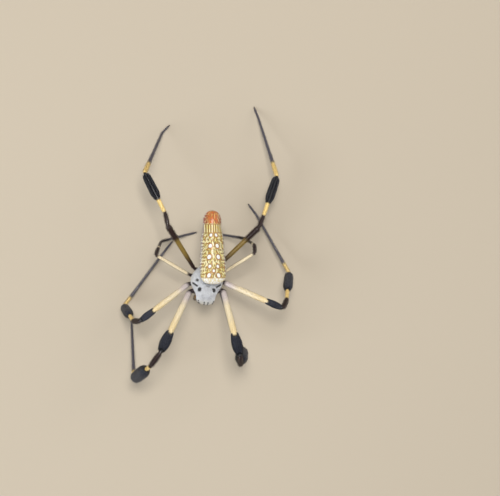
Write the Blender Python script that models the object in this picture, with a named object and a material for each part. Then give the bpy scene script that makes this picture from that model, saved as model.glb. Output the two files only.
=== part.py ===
"""Golden silk orb weaver: an adult female at life size, standing with her legs bent.

The model is divided where the animal's own parts meet: the prosoma, eight eyes, two
chelicerae with their fangs, two pedipalps, the abdomen with its stalk, the spinnerets, and
five pieces to each leg: coxa with trochanter, femur, patella, tibia, and the foot, which is
the metatarsus with the tarsus. The head points along -Y, the tail along +Y and the spider's
own left is +X. All sizes are in metres.
"""

import bmesh
import bpy
import numpy as np
from mathutils import Matrix, Vector
from mathutils.bvhtree import BVHTree

# Driving dimensions of the whole animal
GAP = 0.0003
HIP_HEIGHT = 0.0114
BODY_PLACE = (-0.0001, -0.0010)
BODY_YAW_DEGREES = -4.5

# Prosoma: lengths run forward from its rear edge
PROSOMA_LENGTH = 0.0103
PROSOMA_HALF_WIDTH = 0.00425
PROSOMA_FRONT_HALF_WIDTH = 0.0027
PROSOMA_REAR_HALF_WIDTH = 0.0014
WIDEST_SHARE = 0.40
HEAD_SHARE = 0.86
RIM_HEIGHT = HIP_HEIGHT + 0.0012
THORAX_RISE = 0.0016
HEAD_RISE = 0.0026
STERNUM_HEIGHT = HIP_HEIGHT - 0.0014
PLEURA_HALF_WIDTH = 0.0021
PLEURA_MIDDLE = 0.0038
PLEURA_REACH = 0.0050
CHEEK_RISE = 0.0005

# Two small knobs on the head, and the slanting groove between head and thorax
TUBERCLE_FORWARD = 0.0078
TUBERCLE_OUT = 0.0011
TUBERCLE_SPREAD = 0.0005
TUBERCLE_RISE = 0.0003
GROOVE_FORWARD = 0.0052
GROOVE_SLANT = 0.55
GROOVE_SPREAD = 0.0005
GROOVE_DEPTH = 0.00018

# Eyes: radius, place out from the middle, and the pitch of the line from the middle of the
# head on which the eye sits (0 points to the front, 90 straight up)
EYE_SOCKET_GAP = 0.00012
EYE_LINE_FORWARD = 0.0087
EYE_LINE_RISE = 0.0011
EYES = {
    "front_median": (0.00024, 0.00045, 22.0),
    "rear_median": (0.00023, 0.00050, 52.0),
    "front_lateral": (0.00019, 0.00185, 20.0),
    "rear_lateral": (0.00019, 0.00205, 52.0),
}

# Chelicerae and pedipalps
CHELICERA_LENGTH = 0.0042
CHELICERA_RADIUS = 0.0009
CHELICERA_BULGE = 0.0003
FANG_LENGTH = 0.0016
FANG_RADIUS = 0.00028
PALP_LENGTHS = (0.0024, 0.0011, 0.0014, 0.0019)
PALP_RADII = (0.00038, 0.00038, 0.00034, 0.00038, 0.00018)
ENDITE_RADIUS = 0.00058
ENDITE_OUT = 0.00085
ENDITE_ROUTE = ((0.0060, 0.0006), (0.0068, 0.0004), (0.0076, 0.0004), (0.0081, 0.0006))
PALP_ROOT_FORWARD = 0.0082

# Abdomen
ABDOMEN_MIDDLE_X = 0.0008
ABDOMEN_FRONT_Y = -0.0059
ABDOMEN_LENGTH = 0.0198
ABDOMEN_HALF_WIDTH = 0.0035
ABDOMEN_TAIL_HALF_WIDTH = 0.0024
ABDOMEN_TOP = 0.0187
ABDOMEN_TAIL_TOP = 0.0170
ABDOMEN_BELLY = 0.0121
ABDOMEN_OVERHANG_CLEARANCE = 0.0153
PEDICEL_RADIUS = 0.0005
SPINNERET_SHARE = 0.76
SPINNERET_LENGTH = 0.0013
SPINNERET_RADIUS = 0.00042
SPINNERET_RING_RADIUS = 0.00105
SPINNERET_RING_HEIGHT = 0.0005
SPINNERET_PLACES = ((0.00042, -0.00036), (-0.00042, -0.00036), (0.00040, 0.00044), (-0.00040, 0.00044))

# Legs: where each coxa begins, forward of the prosoma's rear edge and out from its middle,
# and where the leg leaves the trochanter, told the same way from a place and a turn of its
# own, because the spider has turned its head to its right while its feet stay put
COXA_ROOTS = {1: (0.0070, 0.0021), 2: (0.0051, 0.0024), 3: (0.0032, 0.0025), 4: (0.0014, 0.0025)}
HIPS = {1: (0.0067, 0.0045), 2: (0.0047, 0.0047), 3: (0.0023, 0.0044), 4: (0.0005, 0.0032)}
HIPS_PLACE = (-0.0006, -0.0010)
HIPS_YAW_DEGREES = 2.0
COXA_RADII = {1: 0.00078, 2: 0.00074, 3: 0.00062, 4: 0.00060}
COXA_DROP = 0.0004

# Lengths of the femur, patella, tibia, metatarsus and tarsus
SEGMENTS = ("femur", "patella", "tibia", "metatarsus", "tarsus")
SEGMENT_LENGTHS = {
    1: (0.0215, 0.0042, 0.0135, 0.0170, 0.0036),
    2: (0.0180, 0.0038, 0.0125, 0.0186, 0.0036),
    3: (0.0110, 0.0026, 0.0064, 0.0087, 0.0030),
    4: (0.0154, 0.0035, 0.0123, 0.0184, 0.0033),
}

# Radii near a segment's root, at its middle and near its end
SEGMENT_RADII = {
    1: ((0.00080, 0.00088, 0.00064), (0.00062, 0.00072, 0.00062),
        (0.00056, 0.00058, 0.00048), (0.00046, 0.00034, 0.00028), (0.00028, 0.00027, 0.00025)),
    2: ((0.00072, 0.00080, 0.00058), (0.00056, 0.00064, 0.00056),
        (0.00052, 0.00054, 0.00044), (0.00044, 0.00033, 0.00028), (0.00028, 0.00027, 0.00025)),
    3: ((0.00046, 0.00050, 0.00042), (0.00040, 0.00044, 0.00040),
        (0.00038, 0.00038, 0.00032), (0.00034, 0.00029, 0.00026), (0.00026, 0.00026, 0.00025)),
    4: ((0.00054, 0.00066, 0.00074), (0.00052, 0.00058, 0.00052),
        (0.00054, 0.00060, 0.00048), (0.00056, 0.00036, 0.00028), (0.00028, 0.00027, 0.00025)),
}

# The pose: the compass direction of each segment in degrees (0 is +X, 90 is +Y), and the
# heights of the far ends of the femur, patella, tibia and metatarsus
TIP_HEIGHT = 0.00021
TIP_REST = 0.0006
ANKLE_SHARE = 0.85
LEG_POSES = {
    ("left", 1): ((-80, -78, 50, 109, 100), (0.0240, 0.0206, 0.0076, 0.0014)),
    ("left", 2): ((-24, 56, 71, 118, 126), (0.0181, 0.0153, 0.0052, 0.0012)),
    ("left", 3): ((34, 89, 137, 170, 171), (0.0157, 0.0142, 0.0083, 0.0019)),
    ("left", 4): ((44, 64, 69, 104, 108), (0.0132, 0.0120, 0.0090, 0.0017)),
    ("right", 1): ((-120, -125, -128, 90, 96), (0.0230, 0.0224, 0.0102, 0.0012)),
    ("right", 2): ((-145, 187, 118, 53, 50), (0.0180, 0.0145, 0.0026, 0.0011)),
    ("right", 3): ((150, 65, 54, 14, 12), (0.0135, 0.0117, 0.0057, 0.0013)),
    ("right", 4): ((124, 101, 116, 63, 44), (0.0185, 0.0177, 0.0152, 0.0021)),
}

# Brushes of black hair: where each begins and ends as a share of its segment, how far its
# tips reach from the segment's axis, and how many locks it has
BRUSHES = {
    (1, "femur"): (0.66, 0.950, 0.00170, 17),
    (2, "femur"): (0.71, 0.950, 0.00118, 12),
    (1, "tibia"): (0.24, 0.930, 0.00180, 19),
    (2, "tibia"): (0.33, 0.930, 0.00140, 16),
    (4, "tibia"): (0.33, 0.945, 0.00132, 16),
}
LOCK_LENGTH = 0.0032
LOCK_WIDTH = 0.00125
LOCK_THICKNESS = 0.0005
LOCK_ROOT_DEPTH = 0.00030
GOLDEN_ANGLE = np.radians(137.5)

# Fineness of the meshes
LEG_SIDES = 10
THIN_SIDES = 8
PROSOMA_SIDES = 32
PROSOMA_RINGS = 19
ABDOMEN_SIDES = 24
ABDOMEN_RINGS = 22

# Colours and roughness of the finishes
FINISHES = {
    "silver_hair": ((0.62, 0.60, 0.55), 0.55),
    "gold_abdomen": ((0.36, 0.22, 0.06), 0.50),
    "black_eye": ((0.01, 0.008, 0.006), 0.08),
    "dark_chitin": ((0.035, 0.014, 0.008), 0.25),
    "yellow_leg": ((0.55, 0.36, 0.10), 0.40),
    "black_brush": ((0.012, 0.010, 0.010), 0.60),
    "grey_leg": ((0.09, 0.07, 0.06), 0.50),
}


def clear_scene():
    """Remove the objects, meshes and materials that Blender starts with."""
    for item in list(bpy.data.objects):
        bpy.data.objects.remove(item)
    for mesh in list(bpy.data.meshes):
        bpy.data.meshes.remove(mesh)


def finish(name):
    """Return the Principled material of a named finish."""
    if name in bpy.data.materials:
        return bpy.data.materials[name]
    colour, roughness = FINISHES[name]
    material = bpy.data.materials.new(name)
    material.use_nodes = True
    shader = material.node_tree.nodes["Principled BSDF"]
    shader.inputs["Base Color"].default_value = (*colour, 1.0)
    shader.inputs["Roughness"].default_value = roughness
    shader.inputs["Metallic"].default_value = 0.0
    return material


def unit(vector):
    """Scale a vector, or each row of an array of vectors, to length one."""
    vector = np.asarray(vector, float)
    return vector / np.linalg.norm(vector, axis=-1, keepdims=True)


def across(direction):
    """Return two unit vectors square to a direction, the second as upright as can be."""
    side = np.cross(direction, (0.0, 0.0, 1.0))
    if np.linalg.norm(side) < 0.05:
        side = np.cross(direction, (0.0, 1.0, 0.0))
    side = unit(side)
    return side, np.cross(side, direction)


def smooth(values, places, at):
    """Read a soft curve through values at given places: cosine steps between neighbours."""
    at = np.clip(np.asarray(at, float), places[0], places[-1])
    upper = np.clip(np.searchsorted(places, at, side="right"), 1, len(places) - 1)
    lower = upper - 1
    places = np.asarray(places, float)
    values = np.asarray(values, float)
    share = (at - places[lower]) / (places[upper] - places[lower])
    share = 0.5 - 0.5 * np.cos(np.pi * share)
    return values[lower] + (values[upper] - values[lower]) * share


def shell_of_rings(rings):
    """Join closed rings of points into one closed mesh with a flat face at each end."""
    count = len(rings[0])
    points = np.concatenate(rings)
    faces = []
    for level in range(len(rings) - 1):
        low = level * count
        for corner in range(count):
            turn = (corner + 1) % count
            faces.append((low + corner, low + turn, low + count + turn, low + count + corner))
    faces.append(tuple(reversed(range(count))))
    faces.append(tuple(range((len(rings) - 1) * count, len(rings) * count)))
    return points, faces


def add_object(name, points, faces, finish_name, place=(0, 0, 0), axes=None, parent=None):
    """Make an object whose mesh is told in its own place and axes, from points in the world."""
    frame = np.eye(3) if axes is None else np.asarray(axes, float)
    local = (np.asarray(points, float) - np.asarray(place, float)) @ frame.T
    mesh = bpy.data.meshes.new(name)
    mesh.from_pydata([tuple(point) for point in local], [], faces)
    mesh.update()
    body = bmesh.new()
    body.from_mesh(mesh)
    bmesh.ops.recalc_face_normals(body, faces=body.faces)
    if body.calc_volume(signed=True) < 0.0:
        bmesh.ops.reverse_faces(body, faces=body.faces)
    body.to_mesh(mesh)
    body.free()
    mesh.shade_smooth()
    mesh.materials.append(finish(finish_name))
    item = bpy.data.objects.new(name, mesh)
    bpy.context.scene.collection.objects.link(item)
    matrix = Matrix(frame.T.tolist()).to_4x4()
    matrix.translation = Vector(place)
    if parent is not None:
        item.parent = parent
        matrix = parent.matrix_world.inverted() @ matrix
    item.location = matrix.to_translation()
    item.rotation_euler = matrix.to_euler()
    return item


def add_empty(name, place=(0, 0, 0), parent=None):
    """Add an empty that carries other objects."""
    empty = bpy.data.objects.new(name, None)
    empty.empty_display_size = 0.002
    bpy.context.scene.collection.objects.link(empty)
    empty.location = place
    if parent is not None:
        empty.parent = parent
    bpy.context.view_layer.update()
    return empty


def keep_largest_surface(mesh):
    """Delete every closed surface of a mesh but the one with the most vertices."""
    body = bmesh.new()
    body.from_mesh(mesh)
    bmesh.ops.remove_doubles(body, verts=body.verts, dist=1e-7)
    unseen = set(body.verts)
    groups = []
    while unseen:
        group = {unseen.pop()}
        edge_of_group = list(group)
        while edge_of_group:
            vertex = edge_of_group.pop()
            for edge in vertex.link_edges:
                other = edge.other_vert(vertex)
                if other in unseen:
                    unseen.discard(other)
                    group.add(other)
                    edge_of_group.append(other)
        groups.append(group)
    groups.sort(key=len)
    strays = [vertex for group in groups[:-1] for vertex in group]
    bmesh.ops.delete(body, geom=strays, context="VERTS")
    body.to_mesh(mesh)
    body.free()


def combine(core, pieces, operation="UNION", solver="EXACT"):
    """Fuse pieces to a core, or cut them from it, with one Boolean over their collection."""
    group = bpy.data.collections.new(core.name + "_pieces")
    bpy.context.scene.collection.children.link(group)
    for piece in pieces:
        bpy.context.scene.collection.objects.unlink(piece)
        group.objects.link(piece)
    modifier = core.modifiers.new("combine", "BOOLEAN")
    modifier.operand_type = "COLLECTION"
    modifier.collection = group
    modifier.operation = operation
    modifier.solver = solver
    view = bpy.context.evaluated_depsgraph_get()
    mesh = bpy.data.meshes.new_from_object(core.evaluated_get(view))
    core.modifiers.clear()
    mesh.name = core.name
    keep_largest_surface(mesh)
    core.data = mesh
    for piece in pieces:
        bpy.data.objects.remove(piece)
    bpy.data.collections.remove(group)
    return core


def body_point(forward, out, height, place=BODY_PLACE, yaw_degrees=BODY_YAW_DEGREES):
    """Turn a place told forward of the prosoma's rear edge into a point in the world."""
    turn = np.radians(yaw_degrees)
    ahead = np.array((np.sin(turn), -np.cos(turn), 0.0))
    left = np.array((np.cos(turn), np.sin(turn), 0.0))
    base = np.array((*place, 0.0))
    forward, out, height = np.broadcast_arrays(forward, out, height)
    return (base + forward[..., None] * ahead + out[..., None] * left
            + height[..., None] * np.array((0.0, 0.0, 1.0)))


def body_axes():
    """Return the prosoma's own axes as rows: its left, its rear and up."""
    turn = np.radians(BODY_YAW_DEGREES)
    return ((np.cos(turn), np.sin(turn), 0.0), (-np.sin(turn), np.cos(turn), 0.0), (0, 0, 1))


def prosoma_ring(forward):
    """One cross-section of the prosoma: a domed shield over a narrow waist and the sternum."""
    share = forward / PROSOMA_LENGTH
    swell = np.sin(0.5 * np.pi * np.clip(share / WIDEST_SHARE, 0.0, 1.0)) ** 0.85
    half = PROSOMA_REAR_HALF_WIDTH + (PROSOMA_HALF_WIDTH - PROSOMA_REAR_HALF_WIDTH) * swell
    taper = smooth((0.0, 1.0), (WIDEST_SHARE, HEAD_SHARE), share)
    half = half + (PROSOMA_FRONT_HALF_WIDTH - PROSOMA_HALF_WIDTH) * taper
    half = half * (1.0 - 0.34 * np.clip((share - HEAD_SHARE) / (1.0 - HEAD_SHARE), 0.0, 1.0) ** 2.5)
    climb = 0.3 + 0.7 * np.sin(0.5 * np.pi * np.clip(share / 0.3, 0.0, 1.0)) ** 0.8
    rise = THORAX_RISE * climb + (HEAD_RISE - THORAX_RISE) * smooth((0.0, 1.0), (0.46, 0.76), share)
    rise = rise * (1.0 - 0.5 * np.clip((share - 0.88) / 0.12, 0.0, 1.0) ** 2.5)
    rim_rise = CHEEK_RISE * smooth((0.0, 0.0, 0.8, 1.0), (0.0, 0.6, 0.85, 1.0), share)
    rim = RIM_HEIGHT + rim_rise
    waist = PLEURA_HALF_WIDTH * np.sqrt(max(0.2, 1.0 - ((forward - PLEURA_MIDDLE) / PLEURA_REACH) ** 2))
    face_floor = rim - 0.8 * CHEEK_RISE
    floor = smooth((STERNUM_HEIGHT + 2.0 * GAP, STERNUM_HEIGHT, STERNUM_HEIGHT, face_floor,
                    face_floor), (0.0, 0.15, 0.66, 0.78, 1.0), share)
    waist = smooth((waist, waist, half * 0.9), (0.0, 0.70, 0.78), share)
    dome = np.linspace(0.0, np.pi, PROSOMA_SIDES // 2 + 1)
    out = half * np.cos(dome)
    up = rim + rise * np.sin(dome) ** 0.85
    off_out = (np.abs(out) - TUBERCLE_OUT) / TUBERCLE_SPREAD
    off_ahead = (forward - TUBERCLE_FORWARD) / TUBERCLE_SPREAD
    tubercles = np.exp(-(off_out ** 2 + off_ahead ** 2))
    off_groove = (forward - GROOVE_FORWARD - GROOVE_SLANT * np.abs(out)) / GROOVE_SPREAD
    groove = np.exp(-(off_groove ** 2)) * np.clip(np.sin(dome) * 1.6 - 0.5, 0.0, 1.0)
    up = up + TUBERCLE_RISE * tubercles - GROOVE_DEPTH * groove
    depth = rim - floor
    under_out = np.array((-0.93 * half, -waist * 1.06, -waist, -waist * 0.82, -waist * 0.4,
                          waist * 0.4, waist * 0.82, waist, waist * 1.06, 0.93 * half))
    under_up = rim - depth * np.array((0.09, 0.16, 0.45, 0.86, 1.0, 1.0, 0.86, 0.45, 0.16, 0.09))
    return body_point(forward, np.concatenate((out, under_out)), np.concatenate((up, under_up)))


def make_prosoma(parent):
    """Loft the prosoma through its cross-sections, from its rear edge to its face."""
    ease = 0.5 - 0.5 * np.cos(np.linspace(0.0, np.pi, PROSOMA_RINGS))
    even = np.linspace(0.0, 1.0, PROSOMA_RINGS)
    stations = PROSOMA_LENGTH * (0.45 * ease + 0.55 * even)
    points, faces = shell_of_rings([prosoma_ring(station) for station in stations])
    return add_object("prosoma", points, faces, "silver_hair", body_point(0.0, 0.0, RIM_HEIGHT),
                      body_axes(), parent)


def ball(name, centre, radius, finish_name, parent, fineness=2):
    """Add an icosphere."""
    body = bmesh.new()
    bmesh.ops.create_icosphere(body, subdivisions=fineness, radius=radius)
    points = np.array([vertex.co[:] for vertex in body.verts]) + np.asarray(centre)
    body.verts.index_update()
    faces = [tuple(vertex.index for vertex in face.verts) for face in body.faces]
    body.free()
    return add_object(name, points, faces, finish_name, centre, None, parent)


def eye_centres(prosoma):
    """Find the point of the head's surface where each eye sits."""
    bpy.context.view_layer.update()
    points = [prosoma.matrix_world @ vertex.co for vertex in prosoma.data.vertices]
    faces = [tuple(face.vertices) for face in prosoma.data.polygons]
    surface = BVHTree.FromPolygons(points, faces)
    centres = {}
    for row, (radius, out, pitch) in EYES.items():
        for side, sign in (("left", 1.0), ("right", -1.0)):
            inner = Vector(body_point(EYE_LINE_FORWARD, out * sign, RIM_HEIGHT + EYE_LINE_RISE))
            ahead = Vector(body_point(1.0, 0.0, 0.0) - body_point(0.0, 0.0, 0.0))
            angle = np.radians(pitch)
            outward = ahead * float(np.cos(angle)) + Vector((0, 0, float(np.sin(angle))))
            outward.normalize()
            hit = surface.ray_cast(inner + outward * 0.01, -outward)
            centres["eye_" + row + "_" + side] = (np.array(hit[0] + outward * radius * 0.1), radius)
    return centres


def make_head(parent):
    """Make the prosoma with its two mouth lobes, a socket for each eye, and the eyes in them."""
    prosoma = make_prosoma(parent)
    lobes = []
    for sign in (1.0, -1.0):
        path = [body_point(forward, sign * ENDITE_OUT, STERNUM_HEIGHT + lift)
                for forward, lift in ENDITE_ROUTE]
        points, faces = path_tube(path, ENDITE_RADIUS * np.array((0.8, 1.0, 1.0, 0.6)), 10)
        lobes.append(add_object("endite", points, faces, "dark_chitin"))
    combine(prosoma, lobes)
    centres = eye_centres(prosoma)
    cutters = [ball("cutter", centre, radius + EYE_SOCKET_GAP, "black_eye", None)
               for centre, radius in centres.values()]
    combine(prosoma, cutters, "DIFFERENCE")
    for name, (centre, radius) in centres.items():
        ball(name, centre, radius, "black_eye", parent)


def path_tube(points, radii, sides, flat=1.0):
    """Carry a circle along a path of points, with a radius at each, and close both ends."""
    points = np.asarray(points, float)
    tangents = unit(np.gradient(points, axis=0))
    side, upright = across(tangents[0])
    turns = np.linspace(0.0, 2.0 * np.pi, sides, endpoint=False)
    rings = []
    for point, tangent, radius in zip(points, tangents, radii):
        side = unit(side - tangent * (side @ tangent))
        upright = np.cross(tangent, side)
        rings.append(point + radius * (np.cos(turns)[:, None] * side
                                       + flat * np.sin(turns)[:, None] * upright))
    return shell_of_rings(rings)


def curve_points(corners, count):
    """Read a smooth curve through a few corner points, with the given number of points."""
    corners = np.asarray(corners, float)
    places = np.linspace(0.0, 1.0, len(corners))
    at = np.linspace(0.0, 1.0, count)
    fit = np.polyfit(places, corners, min(3, len(corners) - 1))
    return np.stack([np.polyval(fit[:, axis], at) for axis in range(corners.shape[1])], axis=1)


def make_chelicera(side, sign, parent):
    """A stout basal segment that hangs under the face, with its fang folded inwards."""
    top = RIM_HEIGHT - GAP * 1.3
    out = sign * (CHELICERA_RADIUS + GAP * 0.5)
    forward = PROSOMA_LENGTH - CHELICERA_RADIUS * 1.15
    corners = [body_point(forward + CHELICERA_BULGE * np.sin(np.pi * share), out,
                          top - CHELICERA_LENGTH * share) for share in (0.0, 0.33, 0.66, 1.0)]
    path = curve_points(corners, 8)
    radii = CHELICERA_RADIUS * np.array((0.80, 0.95, 1.0, 0.98, 0.92, 0.84, 0.72, 0.45))
    points, faces = path_tube(path, radii, 12)
    base = add_object("chelicera_" + side, points, faces, "dark_chitin", path[0], None, parent)
    tip = path[-2]
    down = np.array((0.0, 0.0, -1.0))
    inward = body_point(0.0, -sign, 0.0) - body_point(0.0, 0.0, 0.0)
    backward = body_point(-1.0, 0.0, 0.0) - body_point(0.0, 0.0, 0.0)
    bend = np.linspace(0.0, 1.0, 5)[:, None]
    fang_path = (tip + down * (FANG_LENGTH * 0.55) * np.sin(bend * 1.5)
                 + inward * (0.0004 * bend) + backward * (FANG_LENGTH * 0.8) * bend ** 2)
    fang_radii = FANG_RADIUS * np.array((1.0, 1.0, 0.85, 0.6, 0.15))
    fang_points, fang_faces = path_tube(fang_path, fang_radii, 6)
    fang = add_object("fang", fang_points, fang_faces, "dark_chitin")
    combine(base, [fang])


def make_palp(side, sign, parent):
    """A pedipalp: a small bent limb beside the mouth, carried low with its tip turned in."""
    out = ENDITE_OUT + ENDITE_RADIUS + GAP * 0.6 + PALP_RADII[0] * 0.8
    root = body_point(PALP_ROOT_FORWARD, sign * out, STERNUM_HEIGHT + 0.0002)
    steps = ((0.20, 0.14, -0.95), (0.45, 0.0, -0.90), (0.20, -0.20, -0.95), (-0.30, -0.35, -0.88))
    origin = body_point(0.0, 0.0, 0.0)
    corners = [root]
    for length, (ahead, out, up) in zip(PALP_LENGTHS, steps):
        heading = unit(body_point(ahead, sign * out, up) - origin)
        corners.append(corners[-1] + heading * length)
    path = curve_points(corners, 11)
    radii = smooth(PALP_RADII, np.linspace(0.0, 1.0, len(PALP_RADII)), np.linspace(0.0, 1.0, 11))
    points, faces = path_tube(path, radii, THIN_SIDES)
    add_object("pedipalp_" + side, points, faces, "dark_chitin", root, None, parent)


def abdomen_ring(share):
    """One cross-section of the abdomen, an upright oval: returns its middle and half sizes."""
    blunt = (1.0 - (1.0 - np.minimum(share / 0.13, 1.0)) ** 2.4) ** (1.0 / 2.4)
    tail = (1.0 - np.maximum((share - 0.86) / 0.14, 0.0) ** 2.2) ** (1.0 / 2.2)
    half = smooth((ABDOMEN_HALF_WIDTH * 0.97, ABDOMEN_HALF_WIDTH, ABDOMEN_HALF_WIDTH * 0.9,
                   ABDOMEN_TAIL_HALF_WIDTH * 1.04, ABDOMEN_TAIL_HALF_WIDTH),
                  (0.0, 0.25, 0.55, 0.82, 1.0), share)
    top = smooth((ABDOMEN_TOP, ABDOMEN_TOP, ABDOMEN_TAIL_TOP), (0.0, 0.35, 1.0), share)
    belly = smooth((ABDOMEN_OVERHANG_CLEARANCE, ABDOMEN_OVERHANG_CLEARANCE, ABDOMEN_BELLY,
                    ABDOMEN_BELLY, ABDOMEN_BELLY + 0.0008), (0.0, 0.12, 0.42, 0.8, 1.0), share)
    size = np.maximum(blunt * tail, 0.0)
    return 0.5 * (top + belly), half * size, 0.5 * (top - belly) * size


def make_abdomen(parent):
    """The long cylindrical abdomen, with the stalk that joins it to the prosoma."""
    ease = 0.5 - 0.5 * np.cos(np.linspace(0.0, np.pi, ABDOMEN_RINGS))
    even = np.linspace(0.0, 1.0, ABDOMEN_RINGS)
    shares = np.clip(0.75 * ease + 0.25 * even, 0.0006, 0.9994)
    turns = np.linspace(0.0, 2.0 * np.pi, ABDOMEN_SIDES, endpoint=False)
    rings = []
    for share in shares:
        middle, half, tall = abdomen_ring(share)
        along = ABDOMEN_FRONT_Y + ABDOMEN_LENGTH * share
        rings.append(np.stack((ABDOMEN_MIDDLE_X + half * np.cos(turns),
                               np.full(ABDOMEN_SIDES, along),
                               middle + tall * np.sin(turns)), axis=1))
    points, faces = shell_of_rings(rings)
    place = (ABDOMEN_MIDDLE_X, ABDOMEN_FRONT_Y, ABDOMEN_BELLY)
    abdomen = add_object("abdomen", points, faces, "gold_abdomen", place, None, parent)
    start = body_point(-GAP, 0.0, RIM_HEIGHT - 0.0007)
    goal = np.array((ABDOMEN_MIDDLE_X, BODY_PLACE[1] + 0.0032, ABDOMEN_BELLY + 0.0016))
    path = [start + (goal - start) * share for share in (0.0, 0.25, 0.5, 0.8)]
    stalk_points, stalk_faces = path_tube(path, [PEDICEL_RADIUS] * 4, THIN_SIDES)
    flush = body_point(-GAP, 0.0, 0.0)
    stalk_points[:THIN_SIDES, 1] = flush[1]
    stalk = add_object("stalk", stalk_points, stalk_faces, "gold_abdomen")
    combine(abdomen, [stalk])


def make_spinnerets(parent):
    """Four short cones in a cluster on a low ring, under the tail."""
    along = ABDOMEN_FRONT_Y + ABDOMEN_LENGTH * SPINNERET_SHARE
    middle, _, tall = abdomen_ring(SPINNERET_SHARE)
    top = middle - tall - GAP
    centre = np.array((ABDOMEN_MIDDLE_X, along, top))
    down = np.array((0.0, 0.0, -1.0))
    ring_path = [centre + down * SPINNERET_RING_HEIGHT * share for share in (0.0, 0.6, 1.0)]
    points, faces = path_tube(ring_path, SPINNERET_RING_RADIUS * np.array((1.0, 1.0, 0.8)), 14)
    cluster = add_object("spinnerets", points, faces, "dark_chitin", centre, None, parent)
    cones = []
    for out, back in SPINNERET_PLACES:
        root = centre + np.array((out, back, -0.0002))
        lean = unit(np.array((out * 350.0, 0.45, -1.0)))
        cone_path = [root + lean * SPINNERET_LENGTH * share for share in (0.0, 0.55, 0.9, 1.0)]
        cone_radii = SPINNERET_RADIUS * np.array((0.9, 0.85, 0.6, 0.3))
        cone_points, cone_faces = path_tube(cone_path, cone_radii, 7)
        cones.append(add_object("cone", cone_points, cone_faces, "dark_chitin"))
    combine(cluster, cones)


def leg_joints(side, pair):
    """Work out a leg's joints: the coxa's root, the hip, and the far end of each segment."""
    sign = 1.0 if side == "left" else -1.0
    root = body_point(COXA_ROOTS[pair][0], sign * COXA_ROOTS[pair][1], HIP_HEIGHT - COXA_DROP)
    forward, out = HIPS[pair]
    joints = [root, body_point(forward, sign * out, HIP_HEIGHT, HIPS_PLACE, HIPS_YAW_DEGREES)]
    compass, heights = LEG_POSES[(side, pair)]
    for length, heading, height in zip(SEGMENT_LENGTHS[pair], compass, (*heights, TIP_HEIGHT)):
        rise = height - joints[-1][2]
        reach = np.sqrt(length ** 2 - rise ** 2)
        angle = np.radians(heading)
        joints.append(joints[-1] + np.array((reach * np.cos(angle), reach * np.sin(angle), rise)))
    return joints


def mitred_rings(start, end, before, after, places, radii, sides, phase=0.0):
    """Rings of a straight segment whose ends lie on the planes that halve its two bends.

    Each ring is a circle square to the segment. Near an end its points slide along the
    segment, fully at the end itself and less further in, until the end face lies on the
    plane between this segment and its neighbour, half the gap away from it.
    """
    length = np.linalg.norm(end - start)
    heading = unit(end - start)
    side, upright = across(heading)
    turns = np.linspace(0.0, 2.0 * np.pi, sides, endpoint=False) + phase
    spokes = np.cos(turns)[:, None] * side + np.sin(turns)[:, None] * upright
    start_plane = unit(before + heading)
    end_plane = unit(heading + after)
    rings = []
    last = len(places) - 1
    for number, (place, radius) in enumerate(zip(places, radii)):
        near_start = {0: 1.0, 1: 0.55}.get(number, 0.0)
        near_end = {last: 1.0, last - 1: 0.55}.get(number, 0.0)
        slide = np.zeros(sides)
        for share, plane, way in ((near_start, start_plane, 1.0), (near_end, end_plane, -1.0)):
            lean = plane @ heading
            slide += share * (way * 0.5 * GAP * (share == 1.0) - radius * (spokes @ plane)) / lean
        rings.append(start + place * length * heading + radius * spokes + slide[:, None] * heading)
    return rings


def segment_profile(pair, segment, length, bend_start, bend_end):
    """Places and radii along a segment: narrow at the joints, with shoulders just behind."""
    near, middle, far = SEGMENT_RADII[pair][SEGMENTS.index(segment)]
    first = (near * (0.30 + 0.45 * np.tan(bend_start * 0.5)) + 0.5 * GAP) / length
    second = 1.0 - (far * (0.30 + 0.45 * np.tan(bend_end * 0.5)) + 0.5 * GAP) / length
    clear_start = (near * np.tan(bend_start * 0.5) + GAP) / length
    clear_end = 1.0 - (far * np.tan(bend_end * 0.5) + GAP) / length
    places = [0.0, first]
    radii = [near * 0.70, near * 0.95]
    if segment == "patella":
        inner = (0.5,)
    else:
        inner = (0.15, 0.5, 0.85)
    for place in inner:
        if clear_start < place < clear_end:
            places.append(place)
            radii.append(float(smooth((near, middle, far), (0.0, 0.5, 1.0), place)))
    places += [second, 1.0]
    radii += [far * 0.95, far * 0.70]
    return np.array(places), np.array(radii)


def lock(root, spoke, heading, reach, length, width):
    """One flat, tapered lock that leaves the leg, bends over and runs on along it.

    Its spine rises steeply at first and flattens towards the tip, and each cross-section is
    a flat diamond. The root lies inside the leg and the tip is a point.
    """
    tangent = np.cross(heading, spoke)
    shares = np.array((0.0, 0.34, 0.72, 1.0))
    rise = (reach - LOCK_ROOT_DEPTH) * (1.0 - (1.0 - shares) ** 1.8)
    run = length * (0.62 * shares + 0.38 * shares ** 2)
    spine = root + (LOCK_ROOT_DEPTH + rise)[:, None] * spoke + run[:, None] * heading
    slopes = unit(np.gradient(spine, axis=0))
    rings = []
    for point, slope, wide, thick in zip(spine[:3], slopes, (0.5, 1.0, 0.8), (0.9, 1.0, 0.8)):
        normal = unit(np.cross(slope, tangent))
        half_width = 0.5 * wide * width * tangent
        half_depth = 0.5 * thick * LOCK_THICKNESS * normal
        rings.append(np.array((point + half_width, point + half_depth,
                               point - half_width, point - half_depth)))
    points, faces = shell_of_rings(rings)
    faces = faces[:-1]
    tip = len(points)
    faces += [(8 + corner, 8 + (corner + 1) % 4, tip) for corner in range(4)]
    return np.vstack((points, spine[3])), faces


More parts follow.
